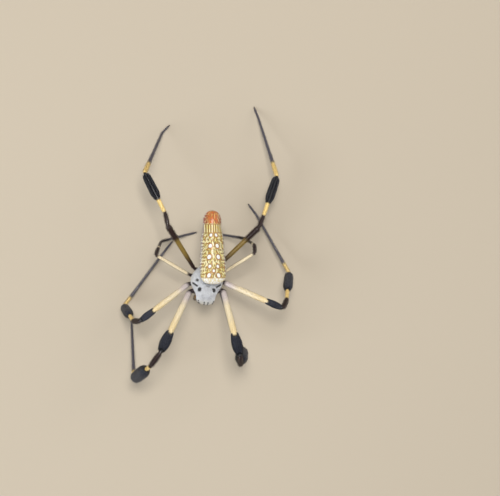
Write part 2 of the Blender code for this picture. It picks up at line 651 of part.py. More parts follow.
def brush_locks(pair, segment, start, end, after, seed):
    """The locks of one brush, spread by the golden angle from its beginning to its end."""
    begin, stop, reach, count = BRUSHES[(pair, segment)]
    draw = np.random.default_rng(seed)
    length = np.linalg.norm(end - start)
    heading = unit(end - start)
    side, upright = across(heading)
    bend_side = after - (after @ heading) * heading
    bend = np.linalg.norm(bend_side)
    locks = []
    for number in range(count):
        share = (number + 0.5) / count
        place = length * (begin + (stop - begin) * share * 0.86)
        angle = number * GOLDEN_ANGLE + draw.uniform(-0.12, 0.12)
        spoke = np.cos(angle) * side + np.sin(angle) * upright
        toward = max(0.0, float(spoke @ unit(bend_side))) * bend if bend > 0.05 else 0.0
        swell = float(smooth((0.62, 1.0, 0.92), (0.0, 0.45, 1.0), share))
        out = reach * swell * draw.uniform(0.93, 1.0)
        room = length * (1.0 + 0.25 * (stop - 1.0)) - place - 0.0011 * toward - GAP
        run = min(LOCK_LENGTH * draw.uniform(0.88, 1.08), room)
        width = LOCK_WIDTH * draw.uniform(0.9, 1.1) * (0.62 + 0.38 * reach / 0.0018)
        points, faces = lock(start + place * heading, spoke, heading, out, run, width)
        locks.append(add_object("lock", points, faces, "black_brush"))
    return locks


def turn_between(one, other):
    """The angle between two directions, in radians."""
    return float(np.arccos(np.clip(unit(one) @ unit(other), -1.0, 1.0)))


def segment_finish(pair, segment):
    """The finish that a leg segment mostly shows."""
    if (pair, segment) in BRUSHES and segment == "tibia":
        return "black_brush"
    return {"femur": "yellow_leg", "patella": "dark_chitin", "tibia": "yellow_leg"}.get(segment, "grey_leg")


def make_segment(name, segment, pair, joints, number, parent):
    """One straight segment between two of the leg's joints."""
    start, end = joints[number], joints[number + 1]
    heading = unit(end - start)
    before = unit(start - joints[number - 1])
    after = unit(joints[number + 2] - end) if number + 2 < len(joints) else heading
    length = np.linalg.norm(end - start)
    bends = turn_between(before, heading), turn_between(heading, after)
    places, radii = segment_profile(pair, segment, length, *bends)
    sides = LEG_SIDES if segment in ("femur", "tibia") and pair != 3 else THIN_SIDES
    rings = mitred_rings(start, end, before, after, places, radii, sides)
    points, faces = shell_of_rings(rings)
    side, upright = across(heading)
    item = add_object(name, points, faces, segment_finish(pair, segment), start,
                      (side, heading, upright), parent)
    if (pair, segment) in BRUSHES:
        combine(item, brush_locks(pair, segment, start, end, after, 10 * pair + number),
                solver="MANIFOLD")
    return item


def make_foot(name, pair, joints, parent):
    """Metatarsus and tarsus in one: the tarsus slopes on to the floor and rests its tip there."""
    knee, ankle, tip = joints[-3:]
    before = unit(knee - joints[-4])
    heading = unit(ankle - knee)
    onward = unit(tip - ankle)
    length = np.linalg.norm(ankle - knee)
    bend = turn_between(before, heading)
    places, radii = segment_profile(pair, "metatarsus", length, bend, 0.0)
    phase = np.pi / THIN_SIDES
    rings = mitred_rings(knee, ankle, before, heading, places, radii, THIN_SIDES, phase)[:-2]
    near, middle, far = SEGMENT_RADII[pair][4]
    side, upright = across(heading)
    turns = np.linspace(0.0, 2.0 * np.pi, THIN_SIDES, endpoint=False) + phase
    spokes = np.cos(turns)[:, None] * side + np.sin(turns)[:, None] * upright
    plane = unit(heading + onward)
    slide = -ANKLE_SHARE * near * (spokes @ plane) / (plane @ heading)
    rings.append(ankle + ANKLE_SHARE * near * spokes + slide[:, None] * heading)
    side, upright = across(onward)
    spokes = np.cos(turns)[:, None] * side + np.sin(turns)[:, None] * upright
    for share, radius in ((0.16, near), (0.50, middle), (0.80, far)):
        rings.append(ankle + share * (tip - ankle) + radius * spokes)
    level = unit(onward * np.array((1.0, 1.0, 0.0)))
    standing = np.cos(turns)[:, None] * side + np.sin(turns)[:, None] * np.array((0.0, 0.0, 1.0))
    for ahead, radius in ((0.0, far), (TIP_REST, far * 0.8)):
        rest = np.array((*(tip + ahead * level)[:2], TIP_HEIGHT / far * radius))
        rings.append(rest + radius * standing)
    rings = [np.column_stack((ring[:, :2], np.maximum(ring[:, 2], 0.0))) for ring in rings]
    points, faces = shell_of_rings(rings)
    side, upright = across(heading)
    return add_object(name, points, faces, "grey_leg", knee, (side, heading, upright), parent)


def make_coxa(name, pair, joints, parent):
    """The coxa with the trochanter: a short stout base that narrows before the leg."""
    start, end = joints[0], joints[1]
    heading = unit(end - start)
    after = unit(joints[2] - end)
    radius = COXA_RADII[pair]
    rings = mitred_rings(start, end, heading, after, (0.0, 0.14, 0.40, 0.66, 1.0),
                         radius * np.array((0.80, 1.0, 1.0, 0.82, 0.62)), LEG_SIDES)
    points, faces = shell_of_rings(rings)
    side, upright = across(heading)
    return add_object(name, points, faces, "dark_chitin", start, (side, heading, upright), parent)


def make_leg(side, pair, parent):
    """Build one leg from its coxa to its foot, carried by an empty at its hip."""
    joints = leg_joints(side, pair)
    label = "leg" + str(pair) + "_" + side
    carrier = add_empty(label, joints[1], parent)
    make_coxa(label + "_coxa", pair, joints, carrier)
    for number, segment in enumerate(SEGMENTS[:3], start=1):
        make_segment(label + "_" + segment, segment, pair, joints, number, carrier)
    make_foot(label + "_foot", pair, joints, carrier)


def centre_over_floor(root):
    """Slide the whole spider until its box is centred on the origin."""
    bpy.context.view_layer.update()
    low = np.full(3, np.inf)
    high = np.full(3, -np.inf)
    for item in bpy.data.objects:
        if item.type == "MESH":
            points = np.array([(item.matrix_world @ vertex.co)[:] for vertex in item.data.vertices])
            low = np.minimum(low, points.min(axis=0))
            high = np.maximum(high, points.max(axis=0))
    middle = 0.5 * (low + high)
    root.location = (-middle[0], -middle[1], 0.0)
    bpy.context.view_layer.update()


def main():
    clear_scene()
    root = add_empty("spider")
    make_head(root)
    for side, sign in (("left", 1.0), ("right", -1.0)):
        make_chelicera(side, sign, root)
        make_palp(side, sign, root)
    make_abdomen(root)
    make_spinnerets(root)
    for side, pair in LEG_POSES:
        make_leg(side, pair, root)
    centre_over_floor(root)


main()
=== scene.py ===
"""Golden silk orb weaver: an adult female at life size, as a museum model of the animal.

The surfaces are built in the order in which the spider is put together: the prosoma with
its silver coat, the eyes, the mouthparts, the abdomen with its spinnerets, and the eight
legs with their bands and brushes. The head points along -Y, the tail along +Y, and the
spider's own left is +X. Sizes are in metres.
"""

import bpy
import numpy as np
from mathutils import Matrix, Vector


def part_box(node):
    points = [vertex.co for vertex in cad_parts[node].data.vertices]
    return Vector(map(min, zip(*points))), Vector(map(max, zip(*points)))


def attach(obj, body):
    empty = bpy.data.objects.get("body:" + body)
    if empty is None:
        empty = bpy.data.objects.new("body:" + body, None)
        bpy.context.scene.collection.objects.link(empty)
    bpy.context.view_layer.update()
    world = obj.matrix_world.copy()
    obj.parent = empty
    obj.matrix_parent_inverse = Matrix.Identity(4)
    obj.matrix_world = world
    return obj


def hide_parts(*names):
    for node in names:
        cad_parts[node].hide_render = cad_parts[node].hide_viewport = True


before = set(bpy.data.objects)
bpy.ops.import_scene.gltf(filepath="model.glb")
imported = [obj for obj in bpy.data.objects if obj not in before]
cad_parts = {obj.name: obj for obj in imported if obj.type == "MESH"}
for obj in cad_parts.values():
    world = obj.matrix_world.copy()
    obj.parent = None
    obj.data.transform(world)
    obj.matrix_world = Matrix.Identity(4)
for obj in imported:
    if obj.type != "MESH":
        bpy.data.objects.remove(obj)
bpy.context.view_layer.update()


def paint(red, green, blue):
    """A colour told as a screen shows it, from 0 to 255, turned into linear light."""
    shown = np.array((red, green, blue)) / 255.0
    return tuple(np.where(shown > 0.04045, ((shown + 0.055) / 1.055) ** 2.4, shown / 12.92))


# The setting: a plain pale floor, soft studio lamps and the camera, which looks down on
# the spider as the photograph looks at it from its back. It isn't part of the model.
FLOOR_SIZE = 3.0
FLOOR_COLOUR = paint(196, 183, 163)
FLOOR_DRIFT = (0.96, 1.04)
ROOM_COLOUR = (0.93, 0.96, 1.0)
ROOM_STRENGTH = 0.36
LAMPS = {
    "overhead": ((-0.05, 0.12, 0.60), 0.16, 2.1, (1.0, 0.98, 0.95)),
    "window": ((-0.50, -0.30, 0.45), 0.35, 2.2, (0.90, 0.95, 1.0)),
    "fill": ((0.55, 0.35, 0.40), 0.50, 1.1, (1.0, 0.96, 0.90)),
}
PHOTO_SIZE = (500, 496)
PIXEL_AT_BODY = 0.00027
LOOK_AT = (0.0, 0.0, 0.012)
LOOK_AT_PIXEL = (208, 262)
CAMERA_DISTANCE = 0.420
CAMERA_LEAN_SIDE = np.radians(6.66)
CAMERA_LEAN_BACK = np.radians(1.35)
SENSOR_WIDTH_MM = 36.0


def feed(graph, node, inputs):
    """Fill a shader node's inputs with values, or with the outputs of other nodes."""
    for name, value in inputs.items():
        if isinstance(value, bpy.types.NodeSocket):
            graph.links.new(value, node.inputs[name])
        else:
            node.inputs[name].default_value = value


def add_node(graph, kind, output, inputs, **settings):
    """Add a shader node with its settings and filled inputs, and return one of its outputs."""
    node = graph.nodes.new("ShaderNode" + kind)
    for name, value in settings.items():
        setattr(node, name, value)
    feed(graph, node, inputs)
    return node.outputs[output]


def add_ramp(graph, factor, stops):
    """Colours between two stops, each told by its place and colour: returns the output."""
    ramp = graph.nodes.new("ShaderNodeValToRGB")
    graph.links.new(factor, ramp.inputs["Fac"])
    for element, (place, colour) in zip(ramp.color_ramp.elements, stops):
        element.position = place
        element.color = (*colour, 1.0)
    return ramp.outputs["Color"]


def plain_shader(name, colour, roughness):
    """A Principled material of one colour: returns it, its nodes, shader and Object place."""
    material = bpy.data.materials.new(name)
    material.use_nodes = True
    graph = material.node_tree
    shader = graph.nodes["Principled BSDF"]
    feed(graph, shader, {"Base Color": (*colour, 1.0), "Roughness": roughness})
    return material, graph, shader, add_node(graph, "TexCoord", "Object", {})


def floor_finish():
    """Matt board, whose colour drifts a little over a hand's width."""
    material, graph, shader, place = plain_shader("floor_board", FLOOR_COLOUR, 0.9)
    drift = add_node(graph, "TexNoise", "Fac", {"Scale": 4.0, "Vector": place})
    low, high = (np.array(FLOOR_COLOUR) * level for level in FLOOR_DRIFT)
    feed(graph, shader, {"Base Color": add_ramp(graph, drift, ((0.0, low), (1.0, high)))})
    return material


half_floor = 0.5 * FLOOR_SIZE
floor_mesh = bpy.data.meshes.new("floor")
floor_corners = [(-half_floor, -half_floor, 0), (half_floor, -half_floor, 0),
                 (half_floor, half_floor, 0), (-half_floor, half_floor, 0)]
floor_mesh.from_pydata(floor_corners, [], [(0, 1, 2, 3)])
floor_mesh.materials.append(floor_finish())
floor = bpy.data.objects.new("floor", floor_mesh)
bpy.context.scene.collection.objects.link(floor)

room = bpy.data.worlds.new("room")
room.use_nodes = True
room.node_tree.nodes["Background"].inputs["Color"].default_value = (*ROOM_COLOUR, 1.0)
room.node_tree.nodes["Background"].inputs["Strength"].default_value = ROOM_STRENGTH
bpy.context.scene.world = room
bpy.context.scene.view_settings.view_transform = "Standard"

for lamp_name, (lamp_place, lamp_size, lamp_power, lamp_colour) in LAMPS.items():
    lamp = bpy.data.lights.new(lamp_name, "AREA")
    lamp.size = lamp_size
    lamp.energy = lamp_power
    lamp.color = lamp_colour
    lamp_object = bpy.data.objects.new(lamp_name, lamp)
    lamp_object.location = lamp_place
    lamp_object.rotation_mode = "QUATERNION"
    lamp_object.rotation_quaternion = (-Vector(lamp_place)).to_track_quat("-Z", "Y")
    bpy.context.scene.collection.objects.link(lamp_object)

# The body's place comes from the solids: the abdomen's middle and its front edge fix the
# point that all the driving places below are told from.
ABDOMEN_MIDDLE_X = 0.0008
ABDOMEN_FRONT_Y = -0.0059
abdomen_low, abdomen_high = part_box("abdomen")
SHIFT = np.array((0.5 * (abdomen_low.x + abdomen_high.x) - ABDOMEN_MIDDLE_X,
                  abdomen_low.y - ABDOMEN_FRONT_Y, 0.0))

# The camera stands on a line that leans from the upright, and turns a little about itself
# so that the point it was set on falls on its own pixel, not on the picture's middle.
back = Vector((-np.sin(CAMERA_LEAN_SIDE) * np.cos(CAMERA_LEAN_BACK), np.sin(CAMERA_LEAN_BACK),
               np.cos(CAMERA_LEAN_SIDE) * np.cos(CAMERA_LEAN_BACK)))
sideways = Vector((0.0, 1.0, 0.0)).cross(back).normalized()
upward = back.cross(sideways)
focal_pixels = CAMERA_DISTANCE / PIXEL_AT_BODY
off_middle = Vector(((LOOK_AT_PIXEL[0] - 0.5 * PHOTO_SIZE[0]) / focal_pixels,
                     (0.5 * PHOTO_SIZE[1] - LOOK_AT_PIXEL[1]) / focal_pixels, -1.0))
level_view = Matrix((sideways, upward, back)).transposed()
turn_to_pixel = (level_view @ off_middle).rotation_difference(-back)
camera = bpy.data.cameras.new("camera")
camera.sensor_width = SENSOR_WIDTH_MM
camera.lens = SENSOR_WIDTH_MM * focal_pixels / PHOTO_SIZE[0]
camera.clip_start = 0.01
camera.clip_end = 10.0
camera_object = bpy.data.objects.new("camera", camera)
camera_object.rotation_mode = "QUATERNION"
camera_object.rotation_quaternion = turn_to_pixel @ level_view.to_quaternion()
camera_object.location = Vector(LOOK_AT) + Vector(SHIFT) + back * CAMERA_DISTANCE
bpy.context.scene.collection.objects.link(camera_object)
bpy.context.scene.camera = camera_object

# The prosoma is the front body: a domed shield over the soft sides and the breastplate.
# The shield is one hard shell, raised at the head, with a groove behind the head and black
# bald spots in its silver coat. Places on it run forward from its rear edge.
BODY_PLACE = (-0.0001, -0.0010)
BODY_YAW = np.radians(-4.5)
HIP_HEIGHT = 0.0114
UP = np.array((0.0, 0.0, 1.0))
PROSOMA_LENGTH = 0.0103
PROSOMA_HALF_WIDTH = 0.00425
PROSOMA_FRONT_HALF_WIDTH = 0.0025
PROSOMA_REAR_HALF_WIDTH = 0.0014
WIDEST_SHARE = 0.40
HEAD_SHARE = 0.86
RIM_HEIGHT = HIP_HEIGHT + 0.0012
THORAX_RISE = 0.0016
HEAD_RISE = 0.0026
STERNUM_HEIGHT = HIP_HEIGHT - 0.0014
PLEURA_HALF_WIDTH = 0.0021
PLEURA_MIDDLE = 0.0038
PLEURA_REACH = 0.0050
CHEEK_RISE = 0.0005
COAT_DEPTH = 0.00012
TUBERCLE_FORWARD = 0.0078
TUBERCLE_OUT = 0.0011
TUBERCLE_SPREAD = 0.00032
TUBERCLE_RISE = 0.00034
GROOVE_FORWARD = 0.0052
GROOVE_SLANT = 0.55
GROOVE_SPREAD = 0.0004
GROOVE_DEPTH = 0.00022
FURROW_DEPTH = 0.00009
MOUND_RISE = 0.00011
# The skin under the silver coat takes the coat's colour, darkened as painted shade between the hairs
UNDERCOAT_PAINTED_SHADE = 0.62
PROSOMA_RINGS = 170
PROSOMA_SIDES = 200

# Bald spots on each half of the shield: both ends of each, forward and out, and its radius
BALD_SPOTS = (
    ((0.00645, 0.00190), (0.00645, 0.00190), 0.00054),
    ((0.00400, 0.00265), (0.00400, 0.00265), 0.00040),
    ((0.00490, 0.00370), (0.00560, 0.00262), 0.00020),
)
SILVER = paint(238, 239, 242)
CREAM_SILVER = paint(246, 242, 234)
GREY_PATCH = paint(172, 172, 176)
BALD_BLACK = paint(22, 20, 22)
DARK_CUTICLE = paint(62, 34, 28)
SOFT_SIDE = paint(108, 88, 76)
MIDDLE_GREY = (0.5, 0.5, 0.5)


def unit(vectors):
    """Scale a vector, or each row of an array of vectors, to length one."""
    vectors = np.asarray(vectors, float)
    return vectors / np.maximum(np.linalg.norm(vectors, axis=-1, keepdims=True), 1e-12)


def eased(values, places, at):
    """Read values at places with a half cosine wave between each two neighbours."""
    places = np.asarray(places, float)
    values = np.asarray(values, float)
    at = np.clip(np.asarray(at, float), places[0], places[-1])
    upper = np.clip(np.searchsorted(places, at, side="right"), 1, len(places) - 1)
    step = (at - places[upper - 1]) / (places[upper] - places[upper - 1])
    step = 0.5 - 0.5 * np.cos(np.pi * step)
    return values[upper - 1] + (values[upper] - values[upper - 1]) * step


def bell(distance, spread):
    """A hump that is one at no distance and falls off as exp(-(distance / spread) squared)."""
    return np.exp(-(distance / spread) ** 2)


def axes(yaw):
    """The ways ahead and to the left of something that is turned by yaw from facing -Y."""
    return (np.array((np.sin(yaw), -np.cos(yaw), 0.0)), np.array((np.cos(yaw), np.sin(yaw), 0.0)))


def body_point(forward, out, height):
    """Turn places told forward and out from the prosoma's rear edge into points."""
    forward, out, height = np.broadcast_arrays(forward, out, height)
    return BODY_BASE + forward[..., None] * AHEAD + out[..., None] * LEFTWARD + height[..., None] * UP


def body_place(points):
    """Turn points back into places forward and out from the prosoma's rear edge."""
    off = np.asarray(points) - BODY_BASE
    return off @ AHEAD, off @ LEFTWARD


AHEAD, LEFTWARD = axes(BODY_YAW)
BODY_BASE = np.array((*BODY_PLACE, 0.0)) + SHIFT


def ring_stretch(distance, reach, power):
    """How far a ring has closed near an end: (1 - (1 - distance / reach) ^ p) ^ (1 / p)."""
    off = 1.0 - np.clip(distance / reach, 0.0, 1.0)
    return np.maximum(1.0 - off ** power, 0.0) ** (1.0 / power)


def prosoma_surface(share, turn):
    """Points of the prosoma's skin.

    Share runs from the rear edge to the face. Turn runs from the left rim over the dome to
    the right rim at one half, and back under the breastplate. The upper half is half an
    ellipse with a softened power, and the lower half is read from the sides' own outline.
    """
    share, turn = np.broadcast_arrays(share, turn)
    forward = PROSOMA_LENGTH * share
    swell = np.sin(0.5 * np.pi * np.clip(share / WIDEST_SHARE, 0.0, 1.0)) ** 0.85
    half = PROSOMA_REAR_HALF_WIDTH + (PROSOMA_HALF_WIDTH - PROSOMA_REAR_HALF_WIDTH) * swell
    taper = eased((0.0, 1.0), (WIDEST_SHARE, HEAD_SHARE), share)
    half = half + (PROSOMA_FRONT_HALF_WIDTH - PROSOMA_HALF_WIDTH) * taper - COAT_DEPTH
    climb = 0.3 + 0.7 * np.sin(0.5 * np.pi * np.clip(share / 0.3, 0.0, 1.0)) ** 0.8
    rise = THORAX_RISE * climb - COAT_DEPTH
    rise = rise + (HEAD_RISE - THORAX_RISE) * eased((0.0, 1.0), (0.44, 0.78), share)
    rim = RIM_HEIGHT + CHEEK_RISE * eased((0.0, 0.8, 1.0), (0.58, 0.85, 1.0), share)
    closing = ring_stretch(share, 0.05, 2.2) * ring_stretch(1.0 - share, 0.17, 2.2)
    angle = 2.0 * np.pi * turn
    over = np.clip(np.sin(angle), 0.0, 1.0)
    out = half * np.cos(angle)
    up = rim + rise * over ** 0.85
    for side in (-1.0, 1.0):
        knob = bell(np.hypot(out - side * TUBERCLE_OUT, forward - TUBERCLE_FORWARD), TUBERCLE_SPREAD)
        up = up + TUBERCLE_RISE * knob
    off_groove = forward - GROOVE_FORWARD - GROOVE_SLANT * np.abs(out)
    groove = bell(off_groove, GROOVE_SPREAD) * np.clip(over * 1.6 - 0.5, 0.0, 1.0)
    pit = bell(np.hypot(out * 0.6, forward - 0.0042), 0.00042)
    rays = np.cos(5.0 * np.arctan2(np.abs(out), 0.0042 - forward)) ** 2
    rays = rays * bell(np.hypot(out, forward - 0.0042) - 0.0019, 0.0011) * over ** 0.5
    up = up - GROOVE_DEPTH * (groove + 1.3 * pit) - FURROW_DEPTH * rays

    floor_height = STERNUM_HEIGHT + (rim - 0.8 * CHEEK_RISE - STERNUM_HEIGHT) * eased(
        (0.22, 0.0, 0.0, 1.0, 1.0), (0.0, 0.15, 0.66, 0.78, 1.0), share)
    waist = PLEURA_HALF_WIDTH * np.sqrt(np.maximum(0.2, 1.0 - ((forward - PLEURA_MIDDLE)
                                                              / PLEURA_REACH) ** 2))
    waist = waist + (0.9 * half - waist) * eased((0.0, 1.0), (0.70, 0.78), share)
    under = 1.0 - np.abs(4.0 * turn - 3.0)
    stops = (0.0, 0.06, 0.14, 0.36, 0.66, 0.84, 1.0)
    of_half = np.interp(under, stops, (1.0, 0.93, 0.0, 0.0, 0.0, 0.0, 0.0))
    of_waist = np.interp(under, stops, (0.0, 0.0, 1.06, 1.0, 0.82, 0.4, 0.0))
    of_depth = np.interp(under, stops, (0.0, 0.09, 0.16, 0.45, 0.86, 1.0, 1.0))
    sign = np.where(turn < 0.75, -1.0, 1.0)
    lower = turn > 0.5
    out = np.where(lower, sign * (half * of_half + waist * of_waist), out)
    up = np.where(lower, rim - (rim - floor_height) * of_depth, up)
    middle = rim + 0.25 * rise
    return body_point(forward, out * closing, middle + (up - middle) * closing)


def surface_frame(surface, share, turn, step=0.0015):
    """Points of a surface with its outward normals and headings, by small differences."""
    point = surface(share, turn)
    along = surface(np.clip(share + step, 0, 1), turn) - surface(np.clip(share - step, 0, 1), turn)
    around = surface(share, (turn + step) % 1.0) - surface(share, (turn - step) % 1.0)
    return point, unit(np.cross(around, along)), unit(along)


def closed_skin(surface, rows, columns, ease=0.7):
    """Read a surface on a grid and close both ends with a single point.

    Rows crowd towards the ends by a half cosine wave mixed with even steps. Returns points,
    triangles, and the two parameters of each point.
    """
    even = np.linspace(0.0, 1.0, rows)
    share = ease * (0.5 - 0.5 * np.cos(np.pi * even)) + (1.0 - ease) * even
    turn = np.arange(columns) / columns
    shares, turns = np.meshgrid(share, turn, indexing="ij")
    rings = surface(shares[1:-1], turns[1:-1])
    first = surface(shares[:1], turns[:1]).mean(axis=1)
    last = surface(shares[-1:], turns[-1:]).mean(axis=1)
    points = np.vstack((first, rings.reshape(-1, 3), last))
    places = np.vstack(((0.0, 0.5), np.stack((shares, turns), -1)[1:-1].reshape(-1, 2), (1.0, 0.5)))
    return points, tube_triangles(rows - 2, columns), places


def tube_triangles(rows, columns):
    """Triangles of a tube of rings with a point at either end, faces outwards."""
    ring = np.arange(columns)
    onward = (ring + 1) % columns
    low = 1 + np.arange(rows - 1)[:, None] * columns
    a, b, c, d = low + ring, low + onward, low + columns + onward, low + columns + ring
    sides = np.stack((a, b, c, a, c, d), -1).reshape(-1, 3)
    start = np.column_stack((np.zeros(columns, int), 1 + onward, 1 + ring))
    final = 1 + (rows - 1) * columns
    end = np.column_stack((np.full(columns, 1 + rows * columns), final + ring, final + onward))
    return np.vstack((start, sides, end))


def add_tint(mesh, name, colours):
    """Keep a colour for each point of a mesh, or one for all, where its material reads it."""
    tints = np.ones((len(mesh.vertices), 4), np.float32)
    tints[:, :3] = colours
    layer = mesh.color_attributes.new(name, "FLOAT_COLOR", "POINT")
    layer.data.foreach_set("color", tints.ravel())


def add_piece(name, shape, material, tints, replaced=()):
    """Put a shape's points and triangles into a mesh object that rides on the body.

    Tints is one colour or one for each point. Faces are turned outwards by the volume's sign.
    """
    points, triangles = shape
    corners = points[triangles]
    volume = np.einsum("ij,ij->i", corners[:, 0], np.cross(corners[:, 1], corners[:, 2])).sum()
    if volume < 0.0:
        triangles = triangles[:, ::-1]
    mesh = bpy.data.meshes.new(name)
    mesh.vertices.add(len(points))
    mesh.vertices.foreach_set("co", points.astype(np.float32).ravel())
    mesh.loops.add(triangles.size)
    mesh.loops.foreach_set("vertex_index", triangles.astype(np.int32).ravel())
    mesh.polygons.add(len(triangles))
    mesh.polygons.foreach_set("loop_start", np.arange(0, triangles.size, 3, dtype=np.int32))
    mesh.update(calc_edges=True)
    mesh.shade_smooth()
    add_tint(mesh, "tint", tints)
    mesh.materials.append(material)
    piece = bpy.data.objects.new(name, mesh)
    bpy.context.scene.collection.objects.link(piece)
    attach(piece, "root")
    if replaced:
        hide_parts(*replaced)
    return mesh


def mixed(first, second, share):
    """Blend two colours, or arrays of colours, by a share for each point."""
    share = np.clip(share, 0.0, 1.0)[..., None]
    return np.asarray(first, float) * (1.0 - share) + np.asarray(second, float) * share


def layered(tint, *layers):
    """Lay colours over a tint one after another, each told with its share."""
    for colour, share in layers:
        tint = mixed(tint, colour, share)
    return tint


def step_up(value, low, high):
    """Rise smoothly from nothing at low to one at high: 3 t squared less 2 t cubed."""
    t = np.clip((value - low) / (high - low), 0.0, 1.0)
    return t * t * (3.0 - 2.0 * t)


def bald(forward, out):
    """How bald the shield is at a place: one inside the spots, nothing outside them."""
    found = np.zeros(np.shape(forward))
    for (start, end, radius) in BALD_SPOTS:
        line = np.subtract(end, start)
        along = (forward - start[0]) * line[0] + (np.abs(out) - start[1]) * line[1]
        along = np.clip(along / max(float(line @ line), 1e-12), 0.0, 1.0)
        gap = np.hypot(forward - start[0] - along * line[0], np.abs(out) - start[1] - along * line[1])
        found = np.maximum(found, 1.0 - step_up(gap, radius * 0.82, radius * 1.18))
    return found


def silver_tint(forward, out):
    """The coat's colour: bluish silver, creamier at the face and rim, greyer round the eyes."""
    return layered(SILVER, (CREAM_SILVER, step_up(forward, 0.0082, 0.0098)),
                   (CREAM_SILVER, 0.5 * step_up(np.abs(out), 0.0026, 0.0042)),
                   (GREY_PATCH, 0.45 * bell(np.hypot(np.abs(out) - 0.0007, forward - 0.0085), 0.0006)))


def mottled(graph, place, scale, detail, read, told):
    """The piece's own tint times a noise, whose read range is stretched to the told one."""
    tint = add_node(graph, "Attribute", "Color", {}, attribute_name="tint")
    clouds = add_node(graph, "TexNoise", "Fac", {"Scale": scale, "Detail": detail, "Vector": place})
    spread = add_node(graph, "MapRange", "Result", {
        "From Min": read[0], "From Max": read[1], "To Min": told[0], "To Max": told[1], "Value": clouds})
    return add_node(graph, "Mix", "Result", {"Factor": 1.0, "A": tint, "B": spread},
                    data_type="RGBA", blend_type="MULTIPLY")


def cuticle(name, roughness, bump, grain, coat=0.0, mottle=0.25):
    """Hard skin: the piece's own tint, mottled by noise, over a fine pitted relief.

    Grain is the size of the pits in metres, and bump the height of the relief.
    """
    material, graph, shader, place = plain_shader(name, MIDDLE_GREY, roughness)
    tint = mottled(graph, place, 0.35 / grain, 4.0, (0.3, 0.7), (1.0 - mottle, 1.0 + mottle * 0.4))
    pits = add_node(graph, "TexVoronoi", "Distance", {"Scale": 1.0 / grain, "Vector": place})
    relief = add_node(graph, "Bump", "Normal", {"Distance": bump, "Strength": 0.8, "Height": pits})
    feed(graph, shader, {"Base Color": tint, "Normal": relief, "Coat Weight": coat,
                         "Coat Roughness": 0.15})
    return material


eye_names = [row + "_" + side for row in ("front_median", "rear_median", "front_lateral", "rear_lateral")
             for side in ("left", "right")]
eye_boxes = {name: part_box("eye_" + name) for name in eye_names}
eye_centres = {name: 0.5 * np.add(low, high) for name, (low, high) in eye_boxes.items()}
eye_radius = {name: 0.5 * (high.x - low.x) for name, (low, high) in eye_boxes.items()}


def eye_nearness(points, reach):
    """How near points are to any eye: one at its edge, nothing at reach eye radii off."""
    near = np.zeros(points.shape[:-1])
    for name in eye_names:
        gap = np.linalg.norm(points - eye_centres[name], axis=-1) / eye_radius[name]
        near = np.maximum(near, 1.0 - step_up(gap, 1.05, reach))
    return near


shield_finish = cuticle("shield_cuticle", 0.30, 0.000012, 0.00011, coat=0.35)
skin_points, skin_triangles, skin_places = closed_skin(prosoma_surface, PROSOMA_RINGS, PROSOMA_SIDES)
_, skin_normals, _ = surface_frame(prosoma_surface, skin_places[:, 0], skin_places[:, 1])
mound = eye_nearness(skin_points, 2.1)
skin_points = skin_points + skin_normals * (MOUND_RISE * mound)[:, None]
skin_forward, skin_out = body_place(skin_points)
below = step_up(-(skin_points[:, 2] - RIM_HEIGHT), -0.00035, 0.0001) * (skin_places[:, 1] > 0.45)
under_plate = step_up(0.25 - np.abs(skin_places[:, 1] - 0.75), 0.17, 0.19)
# The dome's skin: the coat's silver darkened as painted shade under the hairs, then the bald spots, eye
# mounds, soft sides and breastplate
skin_tints = layered(silver_tint(skin_forward, skin_out) * UNDERCOAT_PAINTED_SHADE,
                     (BALD_BLACK, bald(skin_forward, skin_out)), (BALD_BLACK, step_up(mound, 0.25, 0.6)),
                     (SOFT_SIDE, below), (DARK_CUTICLE, under_plate))
add_piece("prosoma_skin", (skin_points, skin_triangles), shield_finish, skin_tints,
          ("prosoma",))

# The silver coat: thousands of short flat hairs that grow from the shield. They are combed
# outwards from the pit behind the head, forwards over the face, and leave the black spots
# and the eyes bare. Each is a three-sided blade that rises a little and then lies down.
COAT_HAIRS = 15000
COAT_LENGTH = 0.00062
COAT_WIDTH = 0.000085
COAT_RISE = 0.00020
COAT_STRAY = 0.35
PIT_FORWARD = 0.0044


def rooted(surface, count, seed, cover, cells=(110, 150), step=0.0015):
    """Spread seeded roots over a surface: their shares and turns, points, normals and headings.

    The surface is cut into cells. Each root takes the next equal helping of the area, which
    cover weighs, and a place at random inside its cell.
    """
    chance = np.random.default_rng(seed)
    rows, columns = cells
    share, turn = np.meshgrid((np.arange(rows) + 0.5) / rows, (np.arange(columns) + 0.5) / columns,
                              indexing="ij")
    along = surface(share + 0.5 / rows, turn) - surface(share - 0.5 / rows, turn)
    around = surface(share, turn + 0.5 / columns) - surface(share, turn - 0.5 / columns)
    area = np.linalg.norm(np.cross(along, around), axis=-1) * cover(share, turn)
    helpings = np.cumsum(area.ravel())
    picks = (np.arange(count) + chance.random(count)) / count * helpings[-1]
    row, column = np.unravel_index(np.searchsorted(helpings, picks), cells)
    places = ((row + chance.random(count)) / rows, (column + chance.random(count)) / columns)
    return (places, *surface_frame(surface, *places, step))


